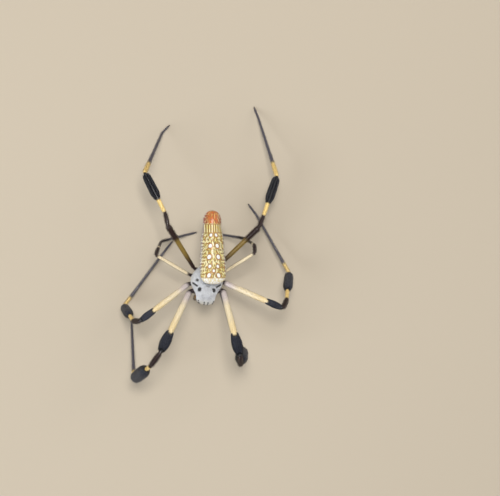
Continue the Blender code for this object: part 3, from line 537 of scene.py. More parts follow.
def tufts(roots, normals, lie, length, width, rise, droop=0.0, sink=0.00004):
    """Tapered three-sided blades: the spine leaves the skin, rises and lies down along lie.

    At a share s of its length the spine has run s along the lie, and has risen by
    rise * (2 s - (1 + droop) s squared). Returns points and triangles of all the blades.
    """
    lie = unit(lie - normals * np.sum(lie * normals, axis=-1, keepdims=True))
    side = np.cross(normals, lie)
    length, width, rise = (np.broadcast_to(size, len(roots))[:, None] for size in (length, width, rise))
    points = np.zeros((len(roots), 7, 3))
    for ring, share in enumerate((0.0, 0.5)):
        height = rise * (2.0 * share - (1.0 + droop) * share ** 2) - sink * (share == 0.0)
        spine = roots + lie * length * share + normals * height
        for corner, (across, up) in enumerate(((-0.5, 0.0), (0.0, 0.45), (0.5, 0.0))):
            swell = (0.75, 1.0)[ring]
            points[:, 3 * ring + corner] = spine + swell * width * (across * side + up * normals)
    points[:, 6] = roots + lie * length + normals * rise * (1.0 - droop)
    points[:, :, 2] = np.maximum(points[:, :, 2], 0.00001)
    blade = np.array(((0, 1, 4), (0, 4, 3), (1, 2, 5), (1, 5, 4), (2, 0, 3), (2, 3, 5),
                      (3, 4, 6), (4, 5, 6), (5, 3, 6), (0, 2, 1)))
    triangles = blade + 7 * np.arange(len(roots))[:, None, None]
    return points.reshape(-1, 3), triangles.reshape(-1, 3)


BAKE_PATCH = 0.003
BAKE_OUTLINE = np.array(((-0.5, -0.5), (-0.35, 0.0), (-0.5, 0.5), (0.0, -0.5), (0.1, 0.0), (0.0, 0.5),
                         (0.5, 0.1)))
# Multipliers for a blade's seven corners: painted shade at the root, painted light along the upper ridge and
# at the tip
BLADE_PAINTED_LIGHT_AND_SHADE = np.array((0.55, 0.6, 0.55, 1.0, 1.05, 1.0, 1.1))


def add_coat(name, blades, material, tints, places):
    """Add blades as a piece, with a map where each blade is a small patch at its root's place.

    Tints is a colour for each blade. It is darkened at the root as painted shade and lightened
    along the upper ridge and at the tip as painted light. Places are the roots' shares and
    turns on the skin, spread over the whole map.
    """
    places = np.column_stack(places)
    low, high = places.min(axis=0), places.max(axis=0)
    places = BAKE_PATCH + (1.0 - 2.0 * BAKE_PATCH) * (places - low) / (high - low)
    chart = (places[:, None] + BAKE_PATCH * BAKE_OUTLINE).reshape(-1, 2)
    tints = (np.asarray(tints)[:, None] * BLADE_PAINTED_LIGHT_AND_SHADE[:, None]).reshape(-1, 3)
    mesh = add_piece(name, blades, material, tints)
    layer = mesh.uv_layers.new(name="OFBake")
    corners = np.zeros(len(mesh.loops), np.int32)
    mesh.loops.foreach_get("vertex_index", corners)
    layer.data.foreach_set("uv", chart[corners].astype(np.float32).ravel())


def hair_finish(name, roughness, sheen=0.0):
    """Hair: the blades' own tint, streaked by a fine noise."""
    material, graph, shader, place = plain_shader(name, MIDDLE_GREY, roughness)
    tint = mottled(graph, place, 9000.0, 2.0, (0.0, 1.0), (0.75, 1.2))
    feed(graph, shader, {"Base Color": tint, "Sheen Weight": sheen})
    return material


def shield_cover(share, turn):
    """Where the silver coat grows: over the dome and its rim, not on bald spots or eyes."""
    points = prosoma_surface(share, turn)
    forward, out = body_place(points)
    dome = (turn < 0.53) | (turn > 0.97)
    return dome * (1.0 - bald(forward, out)) * (1.0 - step_up(eye_nearness(points, 1.7), 0.1, 0.5)) + 1e-9


silver_finish = hair_finish("silver_hairs", 0.45, sheen=0.2)
(coat_shares, coat_turns), coat_roots, coat_normals, _ = rooted(
    prosoma_surface, COAT_HAIRS, 11, shield_cover)
coat_forward, coat_out = body_place(coat_roots)
chance = np.random.default_rng(12)
away_forward = coat_forward - PIT_FORWARD + 0.0012 * step_up(coat_forward, 0.0052, 0.0065)
away_out = coat_out * (1.0 - 0.85 * step_up(coat_forward, 0.0050, 0.0070))
comb = np.arctan2(away_out, away_forward) + chance.normal(0.0, COAT_STRAY, COAT_HAIRS)
coat_lie = np.cos(comb)[:, None] * AHEAD + np.sin(comb)[:, None] * LEFTWARD
on_face = step_up(coat_forward, 0.0088, 0.0100)
coat_sizes = chance.uniform(0.75, 1.2, COAT_HAIRS)
at_rim = 1.0 - step_up(0.25 - np.abs(coat_turns - 0.25), 0.0, 0.05)
coat_lengths = COAT_LENGTH * coat_sizes * (1.0 - 0.25 * on_face) * (1.0 - 0.35 * at_rim)
over_spot = np.zeros(COAT_HAIRS)
for reach in (0.35, 0.7, 1.0):
    tip_forward, tip_out = body_place(coat_roots + coat_lie * (reach * coat_lengths)[:, None])
    over_spot = np.maximum(over_spot, bald(tip_forward, tip_out))
kept = over_spot < chance.uniform(0.1, 0.9, COAT_HAIRS)
coat_blades = tufts(
    coat_roots[kept], coat_normals[kept], coat_lie[kept], coat_lengths[kept],
    (COAT_WIDTH * coat_sizes)[kept], (COAT_RISE * chance.uniform(0.5, 1.3, COAT_HAIRS))[kept], 0.35)
coat_tints = silver_tint(coat_forward, coat_out) * chance.uniform(0.82, 1.12, COAT_HAIRS)[:, None]
add_coat("prosoma_coat", coat_blades, silver_finish, coat_tints[kept],
         (coat_shares[kept], coat_turns[kept]))

# The eight eyes stand in two rows across the front of the head: four medians close together
# and a pair at each corner. Each is a clear dark lens bulging from its own black mound.
EYE_COLOUR = paint(14, 12, 14)
EYE_AMBER = (0.05, 0.022, 0.010)


def eye_finish():
    """A dark lens: near-black glass with a polished coat and a faint amber cloud."""
    material, graph, shader, place = plain_shader("eye_lens", EYE_COLOUR, 0.08)
    cloud = add_node(graph, "TexNoise", "Fac", {"Scale": 2500.0, "Vector": place})
    amber = add_ramp(graph, cloud, ((0.45, EYE_COLOUR), (0.8, EYE_AMBER)))
    feed(graph, shader, {"Base Color": amber, "Coat Weight": 1.0, "Coat Roughness": 0.03})
    return material


def ball_surface(centre, radius):
    """A surface of a ball: share runs from pole to pole along X, and turn goes round it."""
    def surface(share, turn):
        polar, angle = np.pi * share, 2.0 * np.pi * turn
        ring = np.sin(polar)
        ways = np.broadcast_arrays(-np.cos(polar), ring * np.cos(angle), ring * np.sin(angle))
        return centre + radius * np.stack(ways, -1)
    return surface


lens = eye_finish()
for eye in eye_names:
    ball = ball_surface(eye_centres[eye], eye_radius[eye])
    add_piece("eye_lens_" + eye, closed_skin(ball, 26, 36)[:2], lens, EYE_COLOUR, ("eye_" + eye,))

# The mouthparts hang below the face: two stout chelicerae with a curved fang each, and the
# pedipalps, small jointed feelers beside them whose broad bases serve as lips. All are of
# hard brown or nearly black horn with stiff bristles.
STERNUM_LIFT = 0.0002
CHELICERA_INSET = 0.00006
CHELICERA_SHAPE = (0.80, 0.95, 1.0, 0.98, 0.92, 0.84, 0.72, 0.50)
CHELICERA_BOW = 0.0002
CHELICERA_BRISTLES = 420
FANG_LENGTH = 0.0013
FANG_RADIUS = 0.00026
FANG_FLOOR = 0.0004
PALP_ROOT = (0.0082, 0.001914)
PALP_LENGTHS = (0.0024, 0.0011, 0.0014, 0.0019)
PALP_STEPS = ((0.20, 0.14, -0.95), (0.45, 0.0, -0.90), (0.20, -0.20, -0.95), (-0.30, -0.35, -0.88))
PALP_RADII = (0.00034, 0.00036, 0.00031, 0.00035, 0.00016)
PALP_BRISTLES = 520
ENDITE_ROUTE = ((0.0060, 0.0006), (0.0068, 0.0004), (0.0076, 0.0004), (0.0081, 0.0006))
ENDITE_OUT = 0.00085
ENDITE_RADIUS = 0.00052
MOUTH_BRISTLE_WIDTH = 0.00003
HORN_BLACK = paint(34, 22, 22)
HORN_BROWN = paint(70, 38, 26)
PALP_YELLOW = paint(196, 152, 84)
BRISTLE_BROWN = paint(74, 58, 48)


def carried_frames(ways):
    """A sideways direction for each station, carried along the line without a twist."""
    sides = np.zeros_like(ways)
    sides[0] = unit(np.cross(ways[0], (0.0, 0.0, 1.0)))
    for n in range(1, len(ways)):
        axis = np.cross(ways[n - 1], ways[n])
        side = sides[n - 1]
        turned = side + np.cross(axis, side) + np.cross(axis, np.cross(axis, side)) / (
            1.0 + ways[n - 1] @ ways[n])
        sides[n] = unit(turned - (turned @ ways[n]) * ways[n])
    return sides


def tube_surface(points, ways, sides, radii):
    """A surface read between the stations of a tube: share runs along it, turn goes round."""
    at = np.linspace(0.0, 1.0, len(points))
    rows = np.column_stack((points, sides, np.cross(ways, sides), radii))

    def surface(share, turn):
        share, turn = np.broadcast_arrays(share, turn)
        spot = np.clip(share, 0.0, 1.0) * (len(at) - 1)
        low = np.minimum(spot.astype(int), len(at) - 2)
        part = (spot - low)[..., None]
        row = rows[low] * (1.0 - part) + rows[low + 1] * part
        angle = (2.0 * np.pi * turn)[..., None]
        spokes = np.cos(angle) * row[..., 3:6] + np.sin(angle) * row[..., 6:9]
        found = row[..., :3] + row[..., 9:] * spokes
        found[..., 2] = np.maximum(found[..., 2], 0.0)
        return found
    return surface


def bent_tube(route, radii):
    """A round surface along a route, with the sideways directions carried along it."""
    route = np.asarray(route)
    ways = unit(np.gradient(route, axis=0))
    return tube_surface(route, ways, carried_frames(ways), radii)


def horn(route, radii, sides=10):
    """A curved cone along a few points: returns its points and triangles, closed at the ends."""
    return closed_skin(bent_tube(route, radii), 3 * len(route), sides, 0.0)[:2]


def joined(parts):
    """Join several points and triangles into one pair of arrays."""
    offsets = np.cumsum([0] + [len(points) for points, _ in parts[:-1]])
    return (np.vstack([points for points, _ in parts]),
            np.vstack([triangles + offset for (_, triangles), offset in zip(parts, offsets)]))


def bristled(name, surface, count, seed, length, rise):
    """Spread short bristles over a mouthpart, lying along it."""
    chance = np.random.default_rng(seed)
    places, roots, normals, heading = rooted(
        surface, count, seed, lambda share, turn: step_up(share, 0.02, 0.10), (60, 30))
    size = chance.uniform(0.7, 1.3, count)
    blades = tufts(roots, normals, heading, length * size, MOUTH_BRISTLE_WIDTH, rise * size)
    shades = np.asarray(BRISTLE_BROWN) * chance.uniform(0.7, 1.3, (count, 1))
    add_coat(name, blades, bristle_finish, shades, places)


horn_finish = cuticle("mouth_horn", 0.24, 0.000004, 0.00008, coat=0.5)
bristle_finish = hair_finish("leg_bristles", 0.4)
for sign, side in ((1.0, "left"), (-1.0, "right")):
    low, high = (np.array(corner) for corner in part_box("chelicera_" + side))
    middle, half = 0.5 * (low + high), 0.5 * (high - low)
    steps = np.linspace(0.0, 1.0, len(CHELICERA_SHAPE))[:, None]
    fall = high[2] - middle[2] - CHELICERA_INSET - steps * 0.80 * (high[2] - low[2])
    route = middle + fall * UP + CHELICERA_BOW * np.sin(np.pi * steps) * AHEAD
    stout = bent_tube(route, (min(half[0], half[1]) - CHELICERA_INSET) * np.array(CHELICERA_SHAPE))
    *shape, places = closed_skin(stout, 60, 44, 0.4)
    tints = mixed(HORN_BLACK, HORN_BROWN, 1.0 - step_up(places[:, 0], 0.0, 0.35))
    add_piece("chelicera_skin_" + side, shape, horn_finish, tints, ("chelicera_" + side,))
    bristled("chelicera_bristles_" + side, stout, CHELICERA_BRISTLES, 71, 0.00045, 0.0002)
    bend = np.linspace(0.0, 1.0, 8)[:, None]
    fang = route[-1] - sign * LEFTWARD * FANG_LENGTH * 0.55 * np.sin(1.4 * bend) + (
        0.00035 * AHEAD - 0.0004 * UP) * np.sin(np.pi * bend) ** 2
    fang[:, 2] = np.maximum(fang[:, 2], FANG_FLOOR)
    add_piece("fang_" + side, horn(fang, FANG_RADIUS * (1.0 - 0.88 * bend[:, 0]), 16), horn_finish,
              HORN_BROWN)

    palp_route = [body_point(PALP_ROOT[0], sign * PALP_ROOT[1], STERNUM_HEIGHT + STERNUM_LIFT)]
    for length, (onward, aside, up) in zip(PALP_LENGTHS, PALP_STEPS):
        way = unit(onward * AHEAD + sign * aside * LEFTWARD + up * UP)
        palp_route.append(palp_route[-1] + length * way)
    at = np.concatenate(((0.0,), np.cumsum(PALP_LENGTHS))) / sum(PALP_LENGTHS)
    fine = np.linspace(0.0, 1.0, 60)
    smooth_route = np.column_stack([np.interp(fine, at, places) for places in np.transpose(palp_route)])
    for _ in range(4):
        smooth_route[1:-1] = 0.25 * (smooth_route[:-2] + 2.0 * smooth_route[1:-1] + smooth_route[2:])
    pinch = np.max([bell(fine - joint, 0.022) for joint in at[1:-1]], axis=0)
    feeler = bent_tube(smooth_route, np.interp(fine, at, PALP_RADII) * (1.0 - 0.25 * pinch))
    *shape, places = closed_skin(feeler, 110, 28, 0.3)
    endite = [body_point(forward, sign * ENDITE_OUT, STERNUM_HEIGHT + lift)
              for forward, lift in ENDITE_ROUTE]
    lip = horn(endite, ENDITE_RADIUS * np.array((0.6, 1.0, 1.0, 0.6)), 24)
    tints = np.vstack((mixed(PALP_YELLOW, HORN_BROWN, step_up(places[:, 0], 0.45, 0.8)),
                       np.tile(HORN_BROWN, (len(lip[0]), 1))))
    add_piece("pedipalp_skin_" + side, joined([shape, lip]), horn_finish, tints,
              ("pedipalp_" + side,))
    bristled("pedipalp_bristles_" + side, feeler, PALP_BRISTLES, 73, 0.00042, 0.00022)

# The abdomen is a long soft cylinder with blunt ends, carried on the thin stalk of the
# pedicel. Its skin is golden brown under a net of pale dashes, with pairs of white spots,
# a white band in front, pale streaks and an orange cap behind, and dark under the belly.
ABDOMEN_LENGTH = 0.0198
ABDOMEN_HALF_WIDTH = 0.0035
ABDOMEN_TAIL_HALF_WIDTH = 0.0024
ABDOMEN_TOP = 0.0187
ABDOMEN_TAIL_TOP = 0.0170
ABDOMEN_BELLY = 0.0121
OVERHANG_CLEARANCE = 0.0153
ABDOMEN_INSET = 0.00005
ABDOMEN_RINGS = 310
ABDOMEN_SIDES = 300

# White spots, told along from the front edge and out from the middle, with their radii
SPOTS = ((0.0025, 0.00130, 0.00048), (0.0049, 0.00108, 0.00038), (0.0074, 0.00122, 0.00050),
         (0.01035, 0.00094, 0.00044), (0.0132, 0.00070, 0.00036))
MIDDLE_SPOT = (0.00377, 0.0, 0.00033)
DASH_STEP = (0.00092, 0.00052)
DASH_HALF_LENGTH = 0.00038
DASH_HALF_WIDTH = 0.000145
STREAK_PLACES = (0.00033, 0.00098, 0.00160, 0.0022)
STREAK_FROM = 0.0139
STREAK_TO = 0.0161
STREAK_MIDDLE = 0.01495
STREAK_HALF_LENGTH = 0.00095
STREAK_HALF_WIDTH = 0.00015
CAP_FROM = 0.0162
FRONT_BAND_TO = 0.0016
FAR_OFF = 0.01
MEAN_RADIUS = 0.0031
FIELD_UNIT = 0.0001
GOLD = paint(186, 138, 44)
ORANGE = paint(196, 136, 44)
OUTLINE = paint(82, 56, 26)
PALE_YELLOW = paint(238, 220, 120)
CREAM = paint(240, 228, 180)
WHITE = paint(248, 245, 238)
LILAC = paint(166, 150, 152)
BELLY_BROWN = paint(74, 60, 50)
CAP_ORANGE = paint(214, 112, 34)
CAP_RED = paint(150, 60, 40)
CAP_YELLOW = paint(244, 186, 76)
EDGE_GREY = paint(112, 98, 92)
EDGE_CREAM = paint(214, 196, 158)
BELLY_MARK = paint(188, 170, 130)


def abdomen_surface(share, turn):
    """Points of the abdomen's skin: rings that are ellipses, closed bluntly at both ends.

    Share runs from the front to the tail. Turn starts at the belly and passes the right
    side, the back and the left side.
    """
    share, turn = np.broadcast_arrays(share, turn)
    blunt = ring_stretch(share, 0.13, 2.4)
    tail = np.maximum(1.0 - np.clip((share - 0.86) / 0.14, 0.0, 1.0) ** 2.2, 0.0) ** (1.0 / 2.2)
    wide, narrow = ABDOMEN_HALF_WIDTH, ABDOMEN_TAIL_HALF_WIDTH
    half = eased((0.97 * wide, wide, 0.9 * wide, 1.04 * narrow, narrow), (0, 0.25, 0.55, 0.82, 1), share)
    top = eased((ABDOMEN_TOP, ABDOMEN_TOP, ABDOMEN_TAIL_TOP), (0.0, 0.35, 1.0), share)
    belly = eased((OVERHANG_CLEARANCE, OVERHANG_CLEARANCE, ABDOMEN_BELLY, ABDOMEN_BELLY,
                   ABDOMEN_BELLY + 0.0008), (0.0, 0.12, 0.42, 0.8, 1.0), share)
    size = blunt * tail
    angle = 2.0 * np.pi * turn
    x = ABDOMEN_MIDDLE_X + SHIFT[0] - np.sin(angle) * (half * size - ABDOMEN_INSET * tail)
    y = ABDOMEN_FRONT_Y + SHIFT[1] + ABDOMEN_INSET + share * (ABDOMEN_LENGTH - 2.0 * ABDOMEN_INSET)
    z = 0.5 * (top + belly) - np.cos(angle) * (0.5 * (top - belly) * size - ABDOMEN_INSET * tail)
    return np.stack((x, y, z), -1)


def abdomen_place(points, turn):
    """Along from the front, out from the middle, and the arc out from the back's ridge."""
    along = points[..., 1] - ABDOMEN_FRONT_Y - SHIFT[1]
    out = points[..., 0] - ABDOMEN_MIDDLE_X - SHIFT[0]
    return along, out, (turn - 0.5) * 2.0 * np.pi * MEAN_RADIUS


def spot_gap(along, out, upper):
    """Distance outside the nearest white spot, negative inside it."""
    gap = np.full(np.shape(along), FAR_OFF)
    for place, aside, radius in (*SPOTS, MIDDLE_SPOT):
        across = np.abs(out) - aside
        gap = np.minimum(gap, np.hypot(0.84 * (along - place + 0.25 * across), across) - radius)
    return np.where(upper, gap, FAR_OFF)


def dash_gap(along, arc, seed):
    """Distance outside the nearest pale dash, negative inside it, and that dash's own chance.

    Dashes stand one in each cell of a net, shifted in every second row and moved a little at
    random. On the back they lie lengthwise. Farther out they turn outwards and forwards.
    """
    chance = np.random.default_rng(seed)
    rows = int(0.021 / DASH_STEP[0]) + 6
    columns = int(0.024 / DASH_STEP[1]) + 8
    moves = chance.random((rows, columns, 5))
    row = np.floor(along / DASH_STEP[0]).astype(int)
    column = np.floor(arc / DASH_STEP[1]).astype(int)
    nearest = np.full(np.shape(along), FAR_OFF)
    luck = np.zeros(np.shape(along))
    for down in (-1, 0, 1):
        for across in (-2, -1, 0, 1, 2):
            i, j = row + down, column + across
            move = moves[(i + 3) % rows, (j + columns // 2) % columns]
            centre = (i + 0.5 + 0.55 * (move[..., 0] - 0.5)) * DASH_STEP[0]
            aside = (j + 0.5 + 0.5 * (i % 2) + 0.45 * (move[..., 1] - 0.5)) * DASH_STEP[1]
            lean = np.radians(62.0) * step_up(np.abs(aside), 0.0006, 0.0042)
            lean = np.sign(aside) * (np.radians(10.0) + lean) + 0.9 * (move[..., 2] - 0.5)
            off_along, off_aside = along - centre, arc - aside
            run = -off_along * np.cos(lean) + off_aside * np.sin(lean)
            drift = off_along * np.sin(lean) + off_aside * np.cos(lean)
            drift = drift + 0.00005 * np.sin(run / 0.00022 + 6.3 * move[..., 3])
            reach = DASH_HALF_LENGTH * (0.6 + 0.7 * move[..., 3])
            gap = np.hypot(np.maximum(np.abs(run) - reach, 0.0), drift)
            gap = gap - DASH_HALF_WIDTH * (0.7 + 0.6 * move[..., 4])
            luck = np.where(gap < nearest, move[..., 4], luck)
            nearest = np.minimum(nearest, gap)
    return nearest, luck


def add_field(mesh, name, values):
    """Keep a number for each point of a mesh under a name that its material reads."""
    layer = mesh.attributes.new(name, "FLOAT", "POINT")
    layer.data.foreach_set("value", np.asarray(values, np.float32))


def abdomen_finish():
    """The abdomen's skin: ground, dark outline and pale marks, parted by distance.

    The fields dash and spot hold the distance outside the marks in tenths of a millimetre.
    A fine noise roughens their edges, and the marks stand a little proud of the ground.
    """
    material, graph, shader, place = plain_shader("abdomen_skin", GOLD, 0.33)
    ground, mark, edge = (add_node(graph, "Attribute", "Color", {}, attribute_name=label)
                          for label in ("tint", "mark", "edge"))
    dash, spot = (add_node(graph, "Attribute", "Fac", {}, attribute_name=label)
                  for label in ("dash", "spot"))
    waver = add_node(graph, "TexNoise", "Fac", {"Scale": 5000.0, "Detail": 3.0, "Vector": place})
    nearest = add_node(graph, "Math", "Value", {0: dash, 1: spot}, operation="MINIMUM")
    rough = add_node(graph, "Math", "Value", {0: waver, 1: 0.9, 2: nearest}, operation="MULTIPLY_ADD")
    gap = add_node(graph, "Math", "Value", {0: rough, 1: 0.45}, operation="SUBTRACT")
    ring, fill = (add_node(graph, "MapRange", "Result",
                           {"Value": gap, "From Min": first, "From Max": last},
                           interpolation_type="SMOOTHSTEP") for first, last in ((0.4, 1.5), (0.25, -0.25)))
    outlined = add_node(graph, "Mix", "Result", {"Factor": ring, "A": edge, "B": ground},
                        data_type="RGBA")
    painted = add_node(graph, "Mix", "Result", {"Factor": fill, "A": outlined, "B": mark},
                       data_type="RGBA")
    relief = add_node(graph, "Bump", "Normal", {"Distance": 0.00002, "Height": fill})
    feed(graph, shader, {"Base Color": painted, "Normal": relief, "Coat Weight": 0.25,
                         "Coat Roughness": 0.2})
    return material


belly_points, belly_triangles, belly_places = closed_skin(
    abdomen_surface, ABDOMEN_RINGS, ABDOMEN_SIDES, 0.35)
along, out, arc = abdomen_place(belly_points, belly_places[:, 1])
upper = np.abs(belly_places[:, 1] - 0.5) < 0.27
spots = spot_gap(along, out, upper)
dashes, luck = dash_gap(along, arc, 21)
streak_room = step_up(along, STREAK_FROM - 0.0003, STREAK_FROM)
streak_room = streak_room * step_up(-along, -STREAK_TO - 0.0002, -STREAK_TO)
streaks = np.full(len(along), FAR_OFF)
past_end = np.maximum(np.abs(along - STREAK_MIDDLE) - STREAK_HALF_LENGTH, 0.0)
for aside in STREAK_PLACES:
    streaks = np.minimum(streaks, np.hypot(np.abs(out) - aside, past_end))
streaks = np.where(upper, streaks - STREAK_HALF_WIDTH, FAR_OFF)
dashes = np.where(upper & (streak_room > 0.5), FAR_OFF, dashes)
dashes = np.minimum(dashes, np.where(streak_room > 0.0, streaks, FAR_OFF))
dashes = dashes + (0.0005 - dashes) * step_up(0.00030 - spots, 0.0, 0.00012)
belly = step_up(np.abs(belly_places[:, 1] - 0.5), 0.29, 0.36)
flank = step_up(np.abs(arc), 0.0028, 0.0042) * step_up(along, 0.0018, 0.0050)
front = step_up(-along, -FRONT_BAND_TO - 0.0005, -FRONT_BAND_TO + 0.0002)
cap = step_up(along, CAP_FROM - 0.0002, CAP_FROM + 0.0004)
cap_tint = mixed(CAP_ORANGE, CAP_RED, step_up(np.abs(out), 0.0008, 0.0019))
ground = layered(GOLD, (ORANGE, 0.5 + 0.5 * np.sin(along / 0.0011 + 2.0 * out / 0.002)), (LILAC, flank),
                 (CREAM, 0.92 * front), (cap_tint, cap), (BELLY_BROWN, belly))
marks = layered(PALE_YELLOW, (CREAM, luck * 1.2 - 0.1), (WHITE, np.maximum(flank, front)),
                (WHITE, step_up(-spots, -0.00025, -0.00005)),
                (CAP_YELLOW, 0.8 * cap * (np.abs(out) < 0.0014)), (BELLY_MARK, belly))
edges = layered(OUTLINE, (EDGE_GREY, flank), (EDGE_CREAM, front), (CAP_RED, cap), (BELLY_BROWN, belly))
dashes = dashes + 0.00012 * belly + 0.00008 * cap
abdomen_mesh = add_piece("abdomen_skin", (belly_points, belly_triangles), abdomen_finish(), ground,
                         ("abdomen",))
add_tint(abdomen_mesh, "mark", marks)
add_tint(abdomen_mesh, "edge", edges)
add_field(abdomen_mesh, "dash", dashes / FIELD_UNIT)
add_field(abdomen_mesh, "spot", spots / FIELD_UNIT)

# The abdomen's hairs are short and sparse, from brown to nearly white
ABDOMEN_HAIRS = 5200
ABDOMEN_HAIR_LENGTH = 0.00030
ABDOMEN_HAIR_WIDTH = 0.000024
ABDOMEN_HAIR_RISE = 0.00010
ABDOMEN_HAIR_BROWN = paint(120, 92, 60)
ABDOMEN_HAIR_WHITE = paint(236, 226, 204)
places, roots, normals, heading = rooted(abdomen_surface, ABDOMEN_HAIRS, 41,
                                         lambda share, turn: np.ones(np.shape(share)))
chance = np.random.default_rng(42)
size = chance.uniform(0.6, 1.3, ABDOMEN_HAIRS)
blades = tufts(roots, normals, heading, ABDOMEN_HAIR_LENGTH * size, ABDOMEN_HAIR_WIDTH,
               ABDOMEN_HAIR_RISE * size)
hair_tints = mixed(ABDOMEN_HAIR_BROWN, ABDOMEN_HAIR_WHITE, chance.random(ABDOMEN_HAIRS))
add_coat("abdomen_hairs", blades, bristle_finish, hair_tints, places)

# The pedicel is the narrow stalk that joins the two bodies, and the spinnerets are short
# soft cones under the abdomen's rear, grouped round the place where the silk comes out.
PEDICEL_RADIUS = 0.00046
PEDICEL_REACH = 0.0032
SPINNERET_RADIUS = 0.00036
SPINNERET_TAPER = np.array((1.0, 1.0, 0.95, 0.86, 0.70, 0.55, 0.34))
SPINNERET_PLACES = ((0.00042, -0.00036), (-0.00042, -0.00036), (0.00040, 0.00044), (-0.00040, 0.00044),
                    (0.0, 0.0))
SPINNERET_BASE = 0.00088 * np.array((0.9, 1.0, 1.0, 0.98, 0.9))
PEDICEL_BROWN = paint(84, 56, 44)
SPINNERET_BROWN = paint(58, 42, 34)

soft_finish = cuticle("soft_skin", 0.5, 0.000008, 0.00010)
start = body_point(0.0004, 0.0, RIM_HEIGHT - 0.0007)
end = np.array((ABDOMEN_MIDDLE_X, BODY_PLACE[1] + PEDICEL_REACH, ABDOMEN_BELLY + 0.0016)) + SHIFT
steps = np.linspace(0.0, 1.0, 7)[:, None]
stalk = horn(start + (end - start) * steps, PEDICEL_RADIUS * (1.0 - 0.15 * np.sin(np.pi * steps[:, 0])), 28)
add_piece("pedicel", stalk, soft_finish, PEDICEL_BROWN)

low, high = (np.array(corner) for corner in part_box("spinnerets"))
middle = 0.5 * (low + high)
cones = []
for aside, behind in SPINNERET_PLACES:
    small = aside == 0.0
    top = np.array((middle[0] + aside, middle[1] + behind, high[2] + 0.0002))
    reach = (high[2] - low[2]) * (0.75 if small else 0.9)
    lean = np.array((-0.25 * aside, 0.00025, -reach))
    cones.append(horn(top + lean * steps, SPINNERET_RADIUS * (0.55 if small else 1.0) * SPINNERET_TAPER, 24))
base_heights = np.linspace(high[2] + 0.0004, high[2] - 0.0003, 5)[:, None]
base = np.array((middle[0], middle[1], 0.0)) + base_heights * UP
add_piece("spinneret_cones", joined([*cones, horn(base, SPINNERET_BASE, 40)]), soft_finish,
          SPINNERET_BROWN, ("spinnerets",))

# The eight legs: each has a short stout coxa and trochanter, then femur, patella, tibia,
# metatarsus and tarsus, which are straight hard tubes joined by soft dark skin. One skin
# covers them all here, and rounds each bend where the joint's soft skin folds.
# The hips were placed in axes of their own, turned a little from the body's
HIPS_BASE = np.array((-0.0006, -0.0010, 0.0)) + SHIFT
HIPS_AHEAD, HIPS_LEFT = axes(np.radians(2.0))
COXA_DROP = 0.0004
COXA_ROOTS = {1: (0.0070, 0.0021), 2: (0.0051, 0.0024), 3: (0.0032, 0.0025), 4: (0.0014, 0.0025)}
HIPS = {1: (0.0067, 0.0045), 2: (0.0047, 0.0047), 3: (0.0023, 0.0044), 4: (0.0005, 0.0032)}
COXA_RADII = {1: 0.00078, 2: 0.00074, 3: 0.00062, 4: 0.00060}
TIP_HEIGHT = 0.00021
SEGMENTS = ("coxa", "femur", "patella", "tibia", "metatarsus", "tarsus")
SEGMENT_LENGTHS = {
    1: (0.0215, 0.0042, 0.0135, 0.0170, 0.0036),
    2: (0.0180, 0.0038, 0.0125, 0.0186, 0.0036),
    3: (0.0110, 0.0026, 0.0064, 0.0087, 0.0030),
    4: (0.0154, 0.0035, 0.0123, 0.0184, 0.0033),
}
# Near, middle and far radii in millimetres, from the femur to the tarsus
SEGMENT_RADII = {
    1: ((0.80, 0.88, 0.64), (0.62, 0.72, 0.62), (0.56, 0.58, 0.48), (0.46, 0.34, 0.28), (0.28, 0.27, 0.25)),
    2: ((0.72, 0.80, 0.58), (0.56, 0.64, 0.56), (0.52, 0.54, 0.44), (0.44, 0.33, 0.28), (0.28, 0.27, 0.25)),
    3: ((0.46, 0.50, 0.42), (0.40, 0.44, 0.40), (0.38, 0.38, 0.32), (0.34, 0.29, 0.26), (0.26, 0.26, 0.25)),
    4: ((0.54, 0.66, 0.74), (0.52, 0.58, 0.52), (0.54, 0.60, 0.48), (0.56, 0.36, 0.28), (0.28, 0.27, 0.25)),
}
# Compass headings of the femur to the tarsus, and the heights of the far ends of all but
# the last, for each leg
LEG_POSES = {
    ("left", 1): ((-80, -78, 50, 109, 100), (0.0240, 0.0206, 0.0076, 0.0014)),
    ("left", 2): ((-24, 56, 71, 118, 126), (0.0181, 0.0153, 0.0052, 0.0012)),
    ("left", 3): ((34, 89, 137, 170, 171), (0.0157, 0.0142, 0.0083, 0.0019)),
    ("left", 4): ((44, 64, 69, 104, 108), (0.0132, 0.0120, 0.0090, 0.0017)),
    ("right", 1): ((-120, -125, -128, 90, 96), (0.0230, 0.0224, 0.0102, 0.0012)),
    ("right", 2): ((-145, 187, 118, 53, 50), (0.0180, 0.0145, 0.0026, 0.0011)),
    ("right", 3): ((150, 65, 54, 14, 12), (0.0135, 0.0117, 0.0057, 0.0013)),
    ("right", 4): ((124, 101, 116, 63, 44), (0.0185, 0.0177, 0.0152, 0.0021)),
}
TOE_REST = 0.00016
LEG_INSET = 0.00004
LEG_SIDES = 40
RING_STEP = 0.00021
BEND_RINGS = 13
BEND_RADIUS_SHARE = 0.85

# Where each brush begins and stops on its segment, how far its tips reach from the middle
# of the leg, and how many hairs it has
BRUSHES = {
    (1, "femur"): (0.66, 0.95, 0.00170, 7600),
    (2, "femur"): (0.71, 0.95, 0.00118, 5200),
    (1, "tibia"): (0.24, 0.93, 0.00180, 8200),
    (2, "tibia"): (0.33, 0.93, 0.00140, 6400),
    (4, "tibia"): (0.33, 0.945, 0.00132, 6600),
}
LEG_CREAM = paint(252, 234, 196)
LEG_PALE = paint(222, 208, 204)
LEG_YELLOW = paint(255, 220, 138)
LEG_OLIVE = paint(140, 114, 48)
LEG_BROWN = paint(48, 26, 22)
LEG_PURPLE = paint(40, 27, 32)
LEG_BLACK = paint(20, 20, 26)
# Slate blue laid on the brushes' upward-facing hairs: a painted sheen over their black
BRUSH_PAINTED_SHEEN = paint(62, 66, 84)
LEG_GREY = paint(92, 88, 98)
JOINT_BROWN = paint(46, 26, 24)
STRIPE_BROWN = paint(112, 90, 66)
METATARSUS_BANDS = {1: 0.13, 2: 0.155, 4: 0.22}


